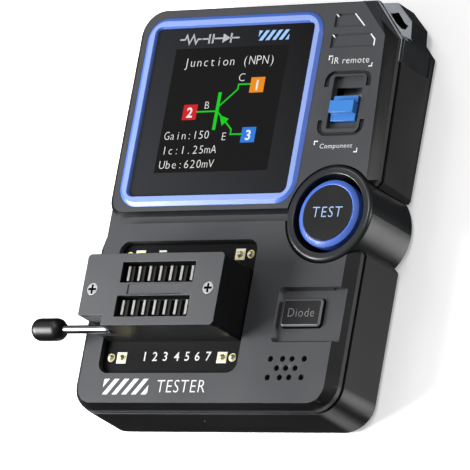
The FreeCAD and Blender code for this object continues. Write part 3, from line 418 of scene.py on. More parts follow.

# %% [markdown]
# ## Display lens
#
# The lens is acrylic with a smoke tint, printed black from behind: mostly a dark mirror. Its colour
# is paler towards the lower left, a painted sheen. Wiping varies its gloss in patches of about 9 mm.

# %% Tinted acrylic with a painted sheen
def acrylic_with_painted_sheen(name, clear, dense):
    """Smoke-tinted acrylic whose colour runs from clear, a painted sheen at the lower left, to dense at
    the upper right corner.
    """
    finish, tree, place = start_finish(name)
    low, high = (Vector(corner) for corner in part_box("screen_lens"))
    across = (high - low) * Vector((1, 1, 0))
    along = add(tree, "ShaderNodeVectorMath", {"operation": "DOT_PRODUCT"}, {
        0: place, 1: across / across.length_squared})
    start = low.dot(across) / across.length_squared
    share = add(tree, "ShaderNodeMapRange", inputs={
        "Value": along.outputs["Value"], "From Min": start, "From Max": start + 1.0})
    tone = add(tree, "ShaderNodeMix", {"data_type": "RGBA"}, {
        "Factor": share.outputs["Result"], "A": linear(clear), "B": linear(dense)})
    wipe = add(tree, "ShaderNodeTexNoise", inputs={
        "Vector": place, "Scale": 1 / (9 * MM), "Detail": 2.0})
    gloss = add(tree, "ShaderNodeMapRange", inputs={
        "Value": wipe.outputs["Fac"], "To Min": 0.07, "To Max": 0.14})
    end_finish(tree, {
        "IOR": 1.49, "Specular IOR Level": 0.3, "Base Color": tone.outputs["Result"],
        "Roughness": gloss.outputs["Result"]})
    return finish


# Lens: charcoal at the lower left, a painted sheen, and deep black at the upper right.
lens_acrylic = acrylic_with_painted_sheen("smoke_tinted_acrylic", "#26272a", "#040405")
print("finishes:", len(bpy.data.materials))

# %% [markdown]
# ## Finishes on the mechanical parts
#
# A mechanical part whose shape is right stays, and only its material changes. Every part gets
# one, also those that nobody sees until the case is opened.

# %% Give every mechanical part its finish
FINISHES = (
    (housing_abs, "front_shell"),
    (painted_shade_abs, "rear_shell"),
    (window_pc, "ir_window"),
    (barrel_abs, "test_barrel"),
    (blue_abs, "test_ring screen_frame"),
    (button_abs, "test_cap mode_key"),
    (tab_pom, "slide_tab"),
    (lens_acrylic, "screen_lens"),
    (cover_pbt, "socket_cover"),
    (base_pbt_and_side_shade, "socket_base socket_slider"),
    (handle_pvc, "lever_handle"),
    (rod_nickel, "socket_lever"),
    (contact_tin, "socket_contacts"),
    (screw_zinc, "socket_screws case_screws board_screws"),
    (pin_gold, "header_pins solder_pads"),
    (switch_steel, "slide_switch usb_socket"),
    (board_mask, "main_board socket_board"),
    (chip_epoxy, "test_switch mode_switch display_panel board_chips sounder ir_receiver"),
    (nylon_white, "test_switch_stem mode_switch_stem display_holder battery_plug"),
    (ribbon_film, "display_ribbon"),
    (cell_foil, "battery_cell"),
    (wire_red, "battery_lead_red"),
    (wire_black, "battery_lead_black"),
)
for finish, nodes in FINISHES:
    for node in nodes.split():
        slots = frame["nodes"][node].data.materials
        slots.clear()
        slots.append(finish)
        print(node, "in", finish.name)

# %% [markdown]
# ## Rounded edges
#
# No moulded edge is razor sharp: each has a radius of up to 0.3 mm that catches a thin line of
# light. The bevel goes on a copy of the mechanical part, because the original stays untouched.
# The copy's loose triangles are first welded, and flat neighbours joined, so that the bevel
# finds only the real edges.

# %% Rounded copies of the moulded parts
BEVEL_STEPS = 2
BEVEL_ANGLE = math.radians(32)
FLAT_ANGLE = math.radians(0.6)
WELD = 0.002 * MM


def rounded_copy(node, width_mm):
    """A copy of a mechanical part with its sharp edges rounded off. It stands for the part."""
    source = frame["nodes"][node]
    mesh = source.data.copy()
    form = bmesh.new()
    form.from_mesh(mesh)
    bmesh.ops.remove_doubles(form, verts=form.verts, dist=WELD)
    bmesh.ops.dissolve_limit(form, angle_limit=FLAT_ANGLE, verts=form.verts, edges=form.edges)
    form.to_mesh(mesh)
    form.free()
    mesh.name = node + "_rounded"
    piece = shown(node + "_rounded", mesh)
    bevel = piece.modifiers.new("edge_round", "BEVEL")
    bevel.width = width_mm * MM
    bevel.segments = BEVEL_STEPS
    bevel.limit_method = "ANGLE"
    bevel.angle_limit = BEVEL_ANGLE
    bevel.use_clamp_overlap = True
    bevel.miter_outer = "MITER_ARC"
    even = piece.modifiers.new("flat_faces_stay_flat", "WEIGHTED_NORMAL")
    even.mode = "FACE_AREA"
    even.weight = 100
    even.keep_sharp = False
    for face in mesh.polygons:
        face.use_smooth = True
    piece.data = evaluated_mesh(piece)
    piece.modifiers.clear()
    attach(piece, source["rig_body"])
    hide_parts(node)
    print(node, "edges rounded to", width_mm, "mm:", len(piece.data.polygons), "faces")
    return piece


ROUNDINGS = {
    "front_shell": 0.16, "rear_shell": 0.16, "socket_cover": 0.12, "socket_base": 0.15,
    "mode_key": 0.12, "slide_tab": 0.3, "screen_frame": 0.18, "ir_window": 0.12, "test_ring": 0.08,
    "test_cap": 0.1, "socket_screws": 0.03,
}
rounded = {node: rounded_copy(node, width) for node, width in ROUNDINGS.items()}

# %% [markdown]
# ## Two finishes on one part
#
# Some parts change finish where their surface turns, and these second finishes are painted light
# and shade: the slopes round the raised fields and the grooves by the switch are darker than the
# fields, painted shade, and a little smoother; the cover's sides, the screws' slots and the window's
# well are black, painted shade; the frame's flat band, the key's rim and the window's upper faces
# are paler, painted light. A face is chosen by its centre and by how far it looks up, which is the
# z of its normal: 1 is level and 0 is upright.

# %% Second finishes
def second_finish(piece, finish, chosen):
    """Give another finish to the faces of a piece whose centre (mm) and normal pass a test."""
    piece.data.materials.append(finish)
    last = len(piece.data.materials) - 1
    faces = [face for face in piece.data.polygons if chosen(face.center / MM, face.normal)]
    for face in faces:
        face.material_index = last
    print(piece.name, "has", len(faces), "faces in", finish.name)


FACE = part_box("front_shell")[1].z / MM
SOCKET_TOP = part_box("socket_cover")[1].z / MM
SHALLOW, SKIN, SCREW_RIM = 0.5, 0.1, 0.04
LEVEL, STEEP, SLOPING, UPRIGHT = 0.93, 0.4, 0.25, 0.15
GROOVES_LOW, GROOVES_HIGH = Vector((16.9, 13.1)), Vector((28.2, 27.0))
FIELDS_X, FIELDS_Y = 28.4, 40.6
CHANNEL_LOW, CHANNEL_HIGH = -4.3, -0.7
SLOPES_FROM = 12.9
WELL = [(27.0, 39.9), (29.45, 37.05), (29.8, 37.1), (29.75, 38.25), (27.6, 40.75)]
WELL_FLOOR, WELL_TOP = 6.9, 11.4
WELL_SPARE = 0.08


def groove_floor(centre, _normal):
    """The two bracket grooves round the slide switch lie just under the face."""
    beside = GROOVES_LOW.x < centre.x < GROOVES_HIGH.x and GROOVES_LOW.y < centre.y < GROOVES_HIGH.y
    return beside and FACE - SHALLOW < centre.z < FACE - SKIN


def outer_slope(centre, normal):
    """Slopes outside the two raised fields, or in the channel between them."""
    beyond = abs(centre.x) > FIELDS_X or abs(centre.y) > FIELDS_Y
    outside = beyond or CHANNEL_LOW < centre.y < CHANNEL_HIGH
    return outside and centre.z > SLOPES_FROM and normal.z < LEVEL


def in_well(centre, _normal):
    """Whether a point lies inside the window's well, seen from above, with a hair to spare."""
    turns = []
    for (x0, y0), (x1, y1) in zip(WELL, WELL[1:] + WELL[:1]):
        turns.append((x1 - x0) * (centre.y - y0) - (y1 - y0) * (centre.x - x0) > -WELL_SPARE)
    return all(turns) and WELL_FLOOR < centre.z < WELL_TOP


def key_rim(centre, normal):
    """The sloping edge round the key's top."""
    return centre.z > FACE - SHALLOW and UPRIGHT < normal.z < LEVEL


SECOND_FINISHES = (
    # The grooves by the slide switch: painted shade in the near-black plastic.
    ("front_shell", painted_shade_abs, groove_floor),
    # The slopes round the raised fields and in the channel: painted shade in the near-black plastic.
    ("front_shell", painted_shade_abs, outer_slope),
    # The cover's sides and the walls of its slots: painted shade in the black of the base.
    ("socket_cover", base_pbt_and_side_shade, lambda centre, normal: normal.z < STEEP),
    # The screws' cross slots: painted shade in dull black.
    ("socket_screws", painted_shade_black, lambda centre, normal: centre.z < SOCKET_TOP - SCREW_RIM),
    # The frame's flat band: painted light, paler than its slopes.
    ("screen_frame", frame_band_painted_light, lambda centre, normal: normal.z > LEVEL),
    # The key's sloping rim: a painted highlight.
    ("mode_key", key_edge_painted_highlight, key_rim),
    # The window's upward faces: painted light in pale grey.
    ("ir_window", window_top_painted_light, lambda centre, normal: normal.z > SLOPING),
    # The window's well: painted shade in dull black.
    ("ir_window", painted_shade_black, in_well),
)
for node, finish, chosen in SECOND_FINISHES:
    second_finish(rounded[node], finish, chosen)

# %% [markdown]
# ## Flat prints
#
# Inks and lit cells are thin flat shapes that lie on a face. Each is drawn as outlines in
# millimetres and given a few hundredths of thickness, so that it has sides and never fights with
# the face below. A line is an outline too, offset to both sides of its path.

# %% Plates and lines
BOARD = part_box("socket_board")[1].z / MM
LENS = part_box("screen_lens")[1].z / MM
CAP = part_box("test_cap")[1].z / MM
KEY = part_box("mode_key")[1].z / MM
INK = 0.03
MITRE_LIMIT = 0.3


def outline_mesh(outlines, level, thickness):
    """Solid plates from closed outlines of (x, y) in millimetres."""
    form = bmesh.new()
    for outline in outlines:
        low = [form.verts.new((x * MM, y * MM, level * MM)) for x, y in outline]
        high = [form.verts.new((x * MM, y * MM, (level + thickness) * MM)) for x, y in outline]
        form.faces.new(list(reversed(low)))
        form.faces.new(high)
        for i in range(len(outline)):
            j = (i + 1) % len(outline)
            form.faces.new((low[i], low[j], high[j], high[i]))
    bmesh.ops.recalc_face_normals(form, faces=form.faces)
    return form


def stroke(points, width):
    """The outline of a line of a given width through (x, y) points, with mitred corners."""
    left, right = [], []
    for i, point in enumerate(points):
        here = Vector(point)
        ahead = (Vector(points[i + 1]) - here).normalized() if i + 1 < len(points) else None
        back = (here - Vector(points[i - 1])).normalized() if i else None
        along = (ahead or back) if not (ahead and back) else (ahead + back).normalized()
        side = Vector((-along.y, along.x))
        reach = width / 2 / max(MITRE_LIMIT, side.dot(Vector((-(ahead or back).y, (ahead or back).x))))
        left.append(tuple(here + side * reach))
        right.append(tuple(here - side * reach))
    return right + left[::-1]


def bar(left, low, right, high):
    return [(left, low), (right, low), (right, high), (left, high)]


def piece_from(form, name, finish, body):
    """Turn a bmesh into a piece that moves with a body."""
    mesh = bpy.data.meshes.new(name)
    form.to_mesh(mesh)
    form.free()
    mesh.materials.append(finish)
    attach(shown(name, mesh), body)
    print(name, "has", len(mesh.polygons), "faces")


# %% [markdown]
# ## Lettering
#
# A word starts as a text curve and becomes a mesh, which is then stretched to the width and
# height it has on the object. A display's own font sets every letter in the same step, so its
# text is built letter by letter.

# %% Words as solid meshes
TYPED_WEIGHT = -0.018
TYPED_FILL = 0.86


def word_mesh(text, weight, spacing=1.0):
    """A word as a solid mesh of size 1. A weight below 0 thins its strokes."""
    curve = bpy.data.curves.new("word", "FONT")
    curve.body = text
    curve.size = 1.0
    curve.space_character = spacing
    curve.offset = weight
    curve.extrude = 0.5
    curve.resolution_u = 3
    holder = shown("word", curve)
    mesh = evaluated_mesh(holder)
    bpy.data.objects.remove(holder)
    bpy.data.curves.remove(curve)
    return mesh


def typed(form, text, left, right, low, high, level):
    """Add text in even steps, as a display's own font has it. Capitals reach from low to high,
    and a letter fills at most TYPED_FILL of its step."""
    capital = word_mesh("H", 0.0)
    tall = (high - low) / max(v.co.y for v in capital.vertices)
    bpy.data.meshes.remove(capital)
    step = (right - left) / len(text)
    for i, letter in enumerate(text):
        if letter == " ":
            continue
        mesh = word_mesh(letter, TYPED_WEIGHT)
        xs = [v.co.x for v in mesh.vertices]
        wide = min(tall, TYPED_FILL * step / (max(xs) - min(xs)))
        start = left + step * (i + 0.5) - wide * (max(xs) + min(xs)) / 2
        for v in mesh.vertices:
            z = level if v.co.z < 0 else level + INK
            v.co = Vector((start + v.co.x * wide, low + v.co.y * tall, z)) * MM
        form.from_mesh(mesh)
        bpy.data.meshes.remove(mesh)


def lettering(form, text, left, right, low, high, level, weight=0.0, spacing=1.0):
    """Add a word, fitted between left and right, and between its lowest and highest ink.
    With no right, it keeps its proportions and is centred on left."""
    mesh = word_mesh(text, weight, spacing)
    xs = [v.co.x for v in mesh.vertices]
    ys = [v.co.y for v in mesh.vertices]
    tall = (high - low) / (max(ys) - min(ys))
    wide = tall if right is None else (right - left) / (max(xs) - min(xs))
    if right is None:
        left -= wide * (max(xs) - min(xs)) / 2
    for v in mesh.vertices:
        x = left + (v.co.x - min(xs)) * wide
        y = low + (v.co.y - min(ys)) * tall
        z = level if v.co.z < 0 else level + INK
        v.co = Vector((x, y, z)) * MM
    form.from_mesh(mesh)
    bpy.data.meshes.remove(mesh)


# %% [markdown]
# ## Words and brackets on the face
#
# Two small words name the ends of the slide switch, each between a pair of corner brackets, and
# a larger one stands at the bottom. All are plain generic words.

# %% White prints on the case
CORNER_LINE, FACET_LINE = 0.22, 0.3
white = outline_mesh([
    stroke([(17.17, 29.1), (17.17, 29.93), (18.0, 29.93)], CORNER_LINE),
    stroke([(27.5, 28.3), (27.5, 27.55), (26.75, 27.55)], CORNER_LINE),
    stroke([(17.17, 11.5), (17.17, 12.26), (17.95, 12.26)], CORNER_LINE),
    stroke([(27.45, 10.7), (27.45, 9.86), (26.75, 9.86)], CORNER_LINE),
], FACE, INK)
lettering(white, "IR remote", 17.95, 26.7, 28.3, 29.6, FACE, weight=-0.01, spacing=1.1)
lettering(white, "Component", 18.6, 26.2, 10.45, 11.7, FACE, weight=-0.01, spacing=1.1)
lettering(white, "TESTER", -10.1, 1.5, -38.95, -36.4, FACE, weight=-0.012, spacing=1.12)
piece_from(white, "case_print_white", ink_white, "case")

# %% [markdown]
# ## Painted highlights in the shallow marks
#
# Two shallow marks are sunk into the face beside the display. Their ends catch the light, and that
# highlight is painted: each has a thin plate of white ink at its right end and a dash at its upper
# left.

# %% Painted highlights in the marks
RECESS, FACET_HIGH = FACE - 0.38, 0.34
facets = outline_mesh([
    [(24.0, 36.05), (24.35, 36.05), (21.65, 38.72), (21.3, 38.72)],
    stroke([(26.0, 34.3), (27.12, 33.15), (27.12, 31.85)], FACET_LINE),
    [(16.95, 38.7), (17.6, 38.1), (17.75, 38.25), (17.25, 38.75)],
    [(16.85, 34.4), (17.5, 33.8), (17.65, 33.95), (17.15, 34.45)],
], RECESS, FACET_HIGH)
piece_from(facets, "mark_facets_white", ink_white, "case")

# %% [markdown]
# ## Words on the key and the button
#
# These two prints move with what they are printed on, so they are pieces of their own. The
# button's word is centred on the cap, whose middle comes from the mechanical model.

# %% Prints that move
key_word = bmesh.new()
lettering(key_word, "Diode", 18.0, 24.1, -23.6, -21.9, KEY, weight=-0.014, spacing=1.1)
piece_from(key_word, "key_print_grey", ink_grey, "mode_button")

test_word = bmesh.new()
cap_low, cap_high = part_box("test_cap")
button = (cap_low + cap_high) / 2 / MM
lettering(test_word, "TEST", button.x - 3.5, button.x + 3.4, button.y - 0.9, button.y + 1.25, CAP,
          weight=-0.01, spacing=1.15)
piece_from(test_word, "test_print_blue", ink_pale_blue, "test_button")

# %% [markdown]
# ## Slanted stripes with Geometry Nodes
#
# Both decorations are a row of slanted bars clipped to a rectangle. That is a rule, so a node
# tree makes it: points on a line, a slanted bar on each, and an intersection with a plain block.
# The same tree serves both rows, because its sizes are inputs.

# %% A node tree for slanted stripes
SOCKETS = {int: "NodeSocketInt", float: "NodeSocketFloat", bpy.types.Material: "NodeSocketMaterial",
           bpy.types.Object: "NodeSocketObject"}


def interface(tree, sizes):
    """Named inputs, with default values where they are numbers, and one geometry output."""
    for name, value in sizes.items():
        socket = tree.interface.new_socket(name, in_out="INPUT", socket_type=SOCKETS[type(value)])
        if isinstance(value, (int, float)):
            socket.default_value = value
    tree.interface.new_socket("Geometry", in_out="OUTPUT", socket_type="NodeSocketGeometry")
    return add(tree, "NodeGroupInput").outputs


def stripe_tree():
    """Count bars of width Bar at Pitch, leaning by Lean per unit of height, clipped to Long by High."""
    tree = bpy.data.node_groups.new("slanted_stripes", "GeometryNodeTree")
    given = interface(tree, {
        "Count": 6, "First": 0.0, "Pitch": 1.0, "Bar": 0.5, "Long": 5.0, "High": 2.0,
        "Lean": 0.7, "Thick": 0.1, "Ink": ink_white})
    offset = add(tree, "ShaderNodeCombineXYZ", inputs={"X": given["First"]})
    step = add(tree, "ShaderNodeCombineXYZ", inputs={"X": given["Pitch"]})
    line = add(tree, "GeometryNodeMeshLine", inputs={
        "Count": given["Count"], "Start Location": offset.outputs[0], "Offset": step.outputs[0]})
    size = add(tree, "ShaderNodeCombineXYZ", inputs={
        "X": given["Bar"], "Y": given["High"], "Z": given["Thick"]})
    block = add(tree, "GeometryNodeMeshCube", inputs={"Size": size.outputs[0]})
    point = add(tree, "GeometryNodeInputPosition").outputs[0]
    where = add(tree, "ShaderNodeSeparateXYZ", inputs={"Vector": point})
    lean = add(tree, "ShaderNodeMath", {"operation": "MULTIPLY"},
               {0: where.outputs["Y"], 1: given["Lean"]})
    shear = add(tree, "ShaderNodeCombineXYZ", inputs={"X": lean.outputs[0]})
    slanted = add(tree, "GeometryNodeSetPosition", inputs={
        "Geometry": block.outputs["Mesh"], "Offset": shear.outputs[0]})
    row = add(tree, "GeometryNodeInstanceOnPoints", inputs={
        "Points": line.outputs["Mesh"], "Instance": slanted.outputs[0]})
    real = add(tree, "GeometryNodeRealizeInstances", inputs={"Geometry": row.outputs[0]})
    fence_size = add(tree, "ShaderNodeCombineXYZ", inputs={
        "X": given["Long"], "Y": given["High"], "Z": 1.0})
    fence = add(tree, "GeometryNodeMeshCube", inputs={"Size": fence_size.outputs[0]})
    middle = add(tree, "ShaderNodeMath", {"operation": "MULTIPLY"}, {0: given["Long"], 1: 0.5})
    shift = add(tree, "ShaderNodeCombineXYZ", inputs={"X": middle.outputs[0]})
    fence_at = add(tree, "GeometryNodeTransform", inputs={
        "Geometry": fence.outputs["Mesh"], "Translation": shift.outputs[0]})
    clipped = add(tree, "GeometryNodeMeshBoolean", {"operation": "INTERSECT", "solver": "EXACT"},
                  {"Mesh 2": real.outputs[0]})
    tree.links.new(fence_at.outputs[0], clipped.inputs["Mesh 2"])
    inked = add(tree, "GeometryNodeSetMaterial", inputs={
        "Geometry": clipped.outputs["Mesh"], "Material": given["Ink"]})
    add(tree, "NodeGroupOutput", inputs={"Geometry": inked.outputs[0]})
    return tree


def grown(tree, name, body, sizes, place=Matrix.Identity(4)):
    """Run a node tree with these inputs, and keep its result as a plain mesh in place."""
    holder = shown(name, bpy.data.meshes.new(name))
    modifier = holder.modifiers.new("grow", "NODES")
    modifier.node_group = tree
    for item in tree.interface.items_tree:
        if item.in_out == "INPUT" and item.name in sizes:
            modifier[item.identifier] = sizes[item.name]
    mesh = evaluated_mesh(holder)
    holder.modifiers.clear()
    mesh.transform(place)
    holder.data = mesh
    mesh.name = name
    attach(holder, body)
    print(name, "has", len(mesh.polygons), "faces")


def flat_place(x, y, level):
    """Trees for flat prints work in millimetres about their lower left; this puts one in metres."""
    return Matrix.Translation(Vector((x, y, level)) * MM) @ Matrix.Scale(MM, 4)


# %% [markdown]
# ## The two rows of stripes
#
# The row at the bottom of the case is larger and white, and the one on the lens is light blue.
# The first bar stands left of the block's edge, so each row begins with a cut end.

# %% Stripes on the case and over the display
stripes = stripe_tree()
grown(stripes, "case_stripes", "case", {
    "Count": 6, "First": -0.5, "Pitch": 2.37, "Bar": 1.15, "Long": 11.0, "High": 3.2, "Lean": 0.78,
    "Thick": 2 * INK, "Ink": ink_white}, flat_place(-23.2, -37.76, FACE))
grown(stripes, "lens_stripes", "case", {
    "Count": 6, "First": -0.25, "Pitch": 1.6, "Bar": 0.88, "Long": 7.4, "High": 2.1, "Lean": 0.68,
    "Thick": 2 * INK, "Ink": ink_sky}, flat_place(-0.95, 35.0, LENS))

# %% [markdown]
# ## The picture on the display
#
# A dark field lies on the lens where the panel shows through. On it stand a transistor symbol
# with three numbered terminals, a title and three read-outs. All of them are light, so they are
# flat shapes with lit cells.

# %% Panel field
VIEW_X, VIEW_Y, VIEW_WIDE, VIEW_LONG = -6.9, 19.75, 27.4, 26.2
FIELD = 0.012
view_low_x = VIEW_X - VIEW_WIDE / 2
view_low_y = VIEW_Y - VIEW_LONG / 2
panel = outline_mesh([bar(view_low_x, view_low_y, view_low_x + VIEW_WIDE, view_low_y + VIEW_LONG)],
                     LENS, FIELD)
piece_from(panel, "display_field", cell_dark, "case")

# %% [markdown]
# ## Transistor symbol
#
# The symbol is a thick bar for the base, a thin line from each terminal, and an arrow on the
# emitter. The arrow points outwards, as it does on an NPN transistor.

# %% Green symbol
PICTURE = LENS + FIELD
THICK, THIN = 0.75, 0.3
BASE_BAR = [(-7.85, 23.3), (-7.85, 15.4)]
BASE_LINE = [(-12.9, 19.33), (-7.9, 19.33)]
COLLECTOR = [(-7.75, 20.2), (-3.72, 23.8), (-3.7, 24.83), (-0.8, 24.83)]
EMITTER = [(-7.75, 19.3), (-3.57, 15.4), (-3.57, 14.36), (-0.8, 14.36)]
ARROW = [(-6.98, 18.5), (-6.05, 16.24), (-4.62, 17.64)]
green = outline_mesh([
    stroke(BASE_BAR, THICK), stroke(BASE_LINE, THIN), stroke(COLLECTOR, THIN),
    stroke(EMITTER, THIN), ARROW,
], PICTURE, INK)
piece_from(green, "display_symbol_green", cell_green, "case")

# %% [markdown]
# ## Terminals, title and read-outs
#
# Each terminal is a coloured tile with a digit on top. The white text is one piece: the digits,
# the three letters at the symbol, the title and the read-outs.

# %% Coloured tiles and white text
TERMINALS = {
    "red": (cell_red, -16.12, 17.7, "2"), "orange": (cell_orange, -0.85, 23.0, "1"),
    "blue": (cell_blue, -0.87, 12.55, "3"),
}
TILE_WIDE, TILE_HIGH = 3.35, 3.2
digits = bmesh.new()
for colour, (finish, x, y, digit) in TERMINALS.items():
    tile = outline_mesh([bar(x, y, x + TILE_WIDE, y + TILE_HIGH)], PICTURE, INK)
    piece_from(tile, f"display_terminal_{colour}", finish, "case")
    lettering(digits, digit, x + TILE_WIDE / 2, None, y + 0.45, y + 2.6, PICTURE + INK, weight=0.02)
typed(digits, "Junction (NPN)", -18.3, 4.2, 28.95, 30.8, PICTURE)
lettering(digits, "B", -10.5, None, 19.95, 21.4, PICTURE, weight=-0.02)
lettering(digits, "C", -3.2, None, 25.5, 27.1, PICTURE, weight=-0.02)
lettering(digits, "E", -5.0, None, 13.2, 14.75, PICTURE, weight=-0.02)
for text, end, low in (("Gain:150", -8.6, 13.5), ("Ic:1.25mA", -6.2, 10.4), ("Ube:620mV", -6.2, 7.4)):
    typed(digits, text, -19.7, end, low + 0.1, low + 1.8, PICTURE)
piece_from(digits, "display_readout_white", cell_white, "case")

# %% [markdown]
# ## Symbols above the display
#
# A plain row of circuit symbols stands above the display: a resistor, a capacitor and a diode on
# one line, with short upright plates.

# %% Silver resistor, capacitor and diode
MARK_Y, PLATE_HALF = 34.8, 1.0
WIRE_LINE, PLATE_LINE = 0.32, 0.42
ZIGZAG = [(-18.5, 35.7), (-17.7, 33.9), (-16.9, 35.7), (-16.1, 33.9)]
mark = [stroke([(-20.1, MARK_Y), (-18.9, MARK_Y), *ZIGZAG, (-15.7, MARK_Y), (-14.6, MARK_Y)],
               WIRE_LINE)]
for start, end in ((-14.9, -12.9), (-12.0, -9.6), (-7.6, -5.6)):
    mark.append(stroke([(start, MARK_Y), (end, MARK_Y)], WIRE_LINE))
for x in (-12.9, -12.0, -7.6):
    mark.append(stroke([(x, MARK_Y - PLATE_HALF), (x, MARK_Y + PLATE_HALF)], PLATE_LINE))
mark.append([(-9.6, MARK_Y - PLATE_HALF), (-7.8, MARK_Y), (-9.6, MARK_Y + PLATE_HALF)])
piece_from(outline_mesh(mark, LENS, INK), "lens_symbols_silver", ink_silver, "case")

# %% [markdown]
# ## Prints on the socket board
#
# The board carries numbers along its lower edge, small white squares round the two inner pad
# columns, and a short dash. A square is four bars, so that the pad shows inside it.

# %% White prints on the board
PAD_COLUMNS = (-23.5, -20.95, 3.28, 5.82)
PAD_ROWS = (-31.45, -10.3)
OUT, IN = 1.15, 0.92
SIDES = ((-OUT, -OUT, OUT, -IN), (-OUT, IN, OUT, OUT), (-OUT, -IN, -IN, IN), (IN, -IN, OUT, IN))
squares = [bar(x + left, y + low, x + right, y + high)
           for x in PAD_COLUMNS[1:3] for y in PAD_ROWS for left, low, right, high in SIDES]
squares.append(bar(-16.5, -9.6, -14.7, -9.2))
board_white = outline_mesh(squares, BOARD, INK)
for digit, x in zip("1234567", (-15.08, -12.63, -10.12, -7.34, -4.85, -2.37, 0.25)):
    lettering(board_white, digit, x - 0.25, None, -32.1, -30.25, BOARD, weight=0.006)
piece_from(board_white, "board_print_white", ink_white, "case")

# %% [markdown]
# ## Painted shade round the board
#
# A thin black band runs round the board where it meets the case: painted shade in the gap between
# them. It follows a rectangle with round corners. Four loops of points, outside and inside, below
# and above, are joined all round into one closed ring.

# %% Painted shade round the socket board
def rounded_path(low, high, bend, arc_steps=5):
    """Points of a rectangle with rounded corners, counter-clockwise from the lower right."""
    path = []
    corners = ((high.x, low.y), (high.x, high.y), (low.x, high.y), (low.x, low.y))
    for turn, (x, y) in enumerate(corners):
        centre = Vector((x - bend if x == high.x else x + bend, y - bend if y == high.y else y + bend))
        for step in range(arc_steps + 1):
            angle = math.radians(-90 + 90 * (turn + step / arc_steps))
            path.append(centre + bend * Vector((math.cos(angle), math.sin(angle))))
    return path


SHADE_BAND, SHADE_BAND_BEND = 0.42, 2.1
board_low, board_high = (Vector(corner[:2]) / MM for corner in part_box("socket_board"))
edge = Vector((SHADE_BAND, SHADE_BAND))
outside = rounded_path(board_low, board_high, SHADE_BAND_BEND)
inside = rounded_path(board_low + edge, board_high - edge, SHADE_BAND_BEND - SHADE_BAND)
TOP = BOARD + 2 * INK
shade_band_form = bmesh.new()
loops = [[shade_band_form.verts.new(Vector((point.x, point.y, z)) * MM) for point in path]
         for path, z in ((outside, BOARD), (outside, TOP), (inside, TOP), (inside, BOARD))]
for lower, upper in zip(loops, loops[1:] + loops[:1]):
    for i in range(len(lower)):
        shade_band_form.faces.new((lower[i - 1], lower[i], upper[i], upper[i - 1]))
bmesh.ops.recalc_face_normals(shade_band_form, faces=shade_band_form.faces)
piece_from(shade_band_form, "board_gasket", painted_shade_black, "case")

# %% [markdown]
# ## Solder joints with Geometry Nodes
#
# A solder joint is a smooth cone that climbs the pin and is drawn in at its waist. A node tree
# makes one such cone, narrows it halfway up, and puts it on every pad with a turn of its own
# from a fixed seed.

# %% A node tree for solder joints
WAIST = 0.275


def solder_tree(pads):
    """A joint of Foot and Tip radius on each point of Pads. Halfway up, WAIST of it is drawn in."""
    tree = bpy.data.node_groups.new("solder_joints", "GeometryNodeTree")
    given = interface(tree, {"Pads": pads, "Foot": 0.75, "Tip": 0.25, "High": 0.6, "Metal": solder_tin})
    places = add(tree, "GeometryNodeObjectInfo", inputs={"Object": given["Pads"]})
    cone = add(tree, "GeometryNodeMeshCone", inputs={
        "Vertices": 16, "Side Segments": 5, "Radius Top": given["Tip"],
        "Radius Bottom": given["Foot"], "Depth": given["High"]})
    point = add(tree, "GeometryNodeInputPosition").outputs[0]
    where = add(tree, "ShaderNodeSeparateXYZ", inputs={"Vector": point})
    share = add(tree, "ShaderNodeMath", {"operation": "DIVIDE"},
                {0: where.outputs["Z"], 1: given["High"]})
    dip = add(tree, "ShaderNodeMath", {"operation": "PINGPONG"}, {0: share.outputs[0], 1: 0.5})
    waist = add(tree, "ShaderNodeMath", {"operation": "MULTIPLY_ADD"},
                {0: dip.outputs[0], 1: -2 * WAIST, 2: 1.0})
    keep = add(tree, "ShaderNodeCombineXYZ", inputs={
        "X": waist.outputs[0], "Y": waist.outputs[0], "Z": 1.0})
    drawn_in = add(tree, "ShaderNodeVectorMath", {"operation": "MULTIPLY"}, {
        0: point, 1: keep.outputs[0]})
    joint = add(tree, "GeometryNodeSetPosition", inputs={
        "Geometry": cone.outputs["Mesh"], "Position": drawn_in.outputs[0]})
    turn = add(tree, "FunctionNodeRandomValue", {"data_type": "FLOAT_VECTOR"}, {
        "Max": (0.0, 0.0, 6.28), "Seed": 3})
    joints = add(tree, "GeometryNodeInstanceOnPoints", inputs={
        "Points": places.outputs["Geometry"], "Instance": joint.outputs[0],
        "Rotation": turn.outputs["Value"]})
    real = add(tree, "GeometryNodeRealizeInstances", inputs={"Geometry": joints.outputs[0]})
    smooth = add(tree, "GeometryNodeSetShadeSmooth", inputs={"Geometry": real.outputs[0]})
    metal = add(tree, "GeometryNodeSetMaterial", inputs={
        "Geometry": smooth.outputs[0], "Material": given["Metal"]})
    add(tree, "NodeGroupOutput", inputs={"Geometry": metal.outputs[0]})
    return tree


def guide_points(name, places):
    """A hidden helper mesh of loose points for a node tree to read; it is removed afterwards."""
    mesh = bpy.data.meshes.new(name)
    mesh.from_pydata(places, [], [])
    return shown(name, mesh)


# %% [markdown]
# ## Solder on the pads
#
# The pads stand in four columns and two rows. Loose points at those places guide the node tree
# and are removed when it has run.

# %% Solder on every pad
pads = guide_points("pad_places", [(x, y, 0) for x in PAD_COLUMNS for y in PAD_ROWS])
PAD_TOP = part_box("solder_pads")[1].z / MM
grown(solder_tree(pads), "solder_joints", "case", {
    "Pads": pads, "Foot": 0.72, "Tip": 0.3, "High": 0.55, "Metal": solder_tin},
    flat_place(0, 0, PAD_TOP - 0.01))
bpy.data.objects.remove(pads)

# %% [markdown]
# ## Camera
#
# The camera is a long lens from the lower right, about a metre away, so lines that are parallel
# on the object stay nearly parallel. Its three axes are unit vectors: right, up and back.

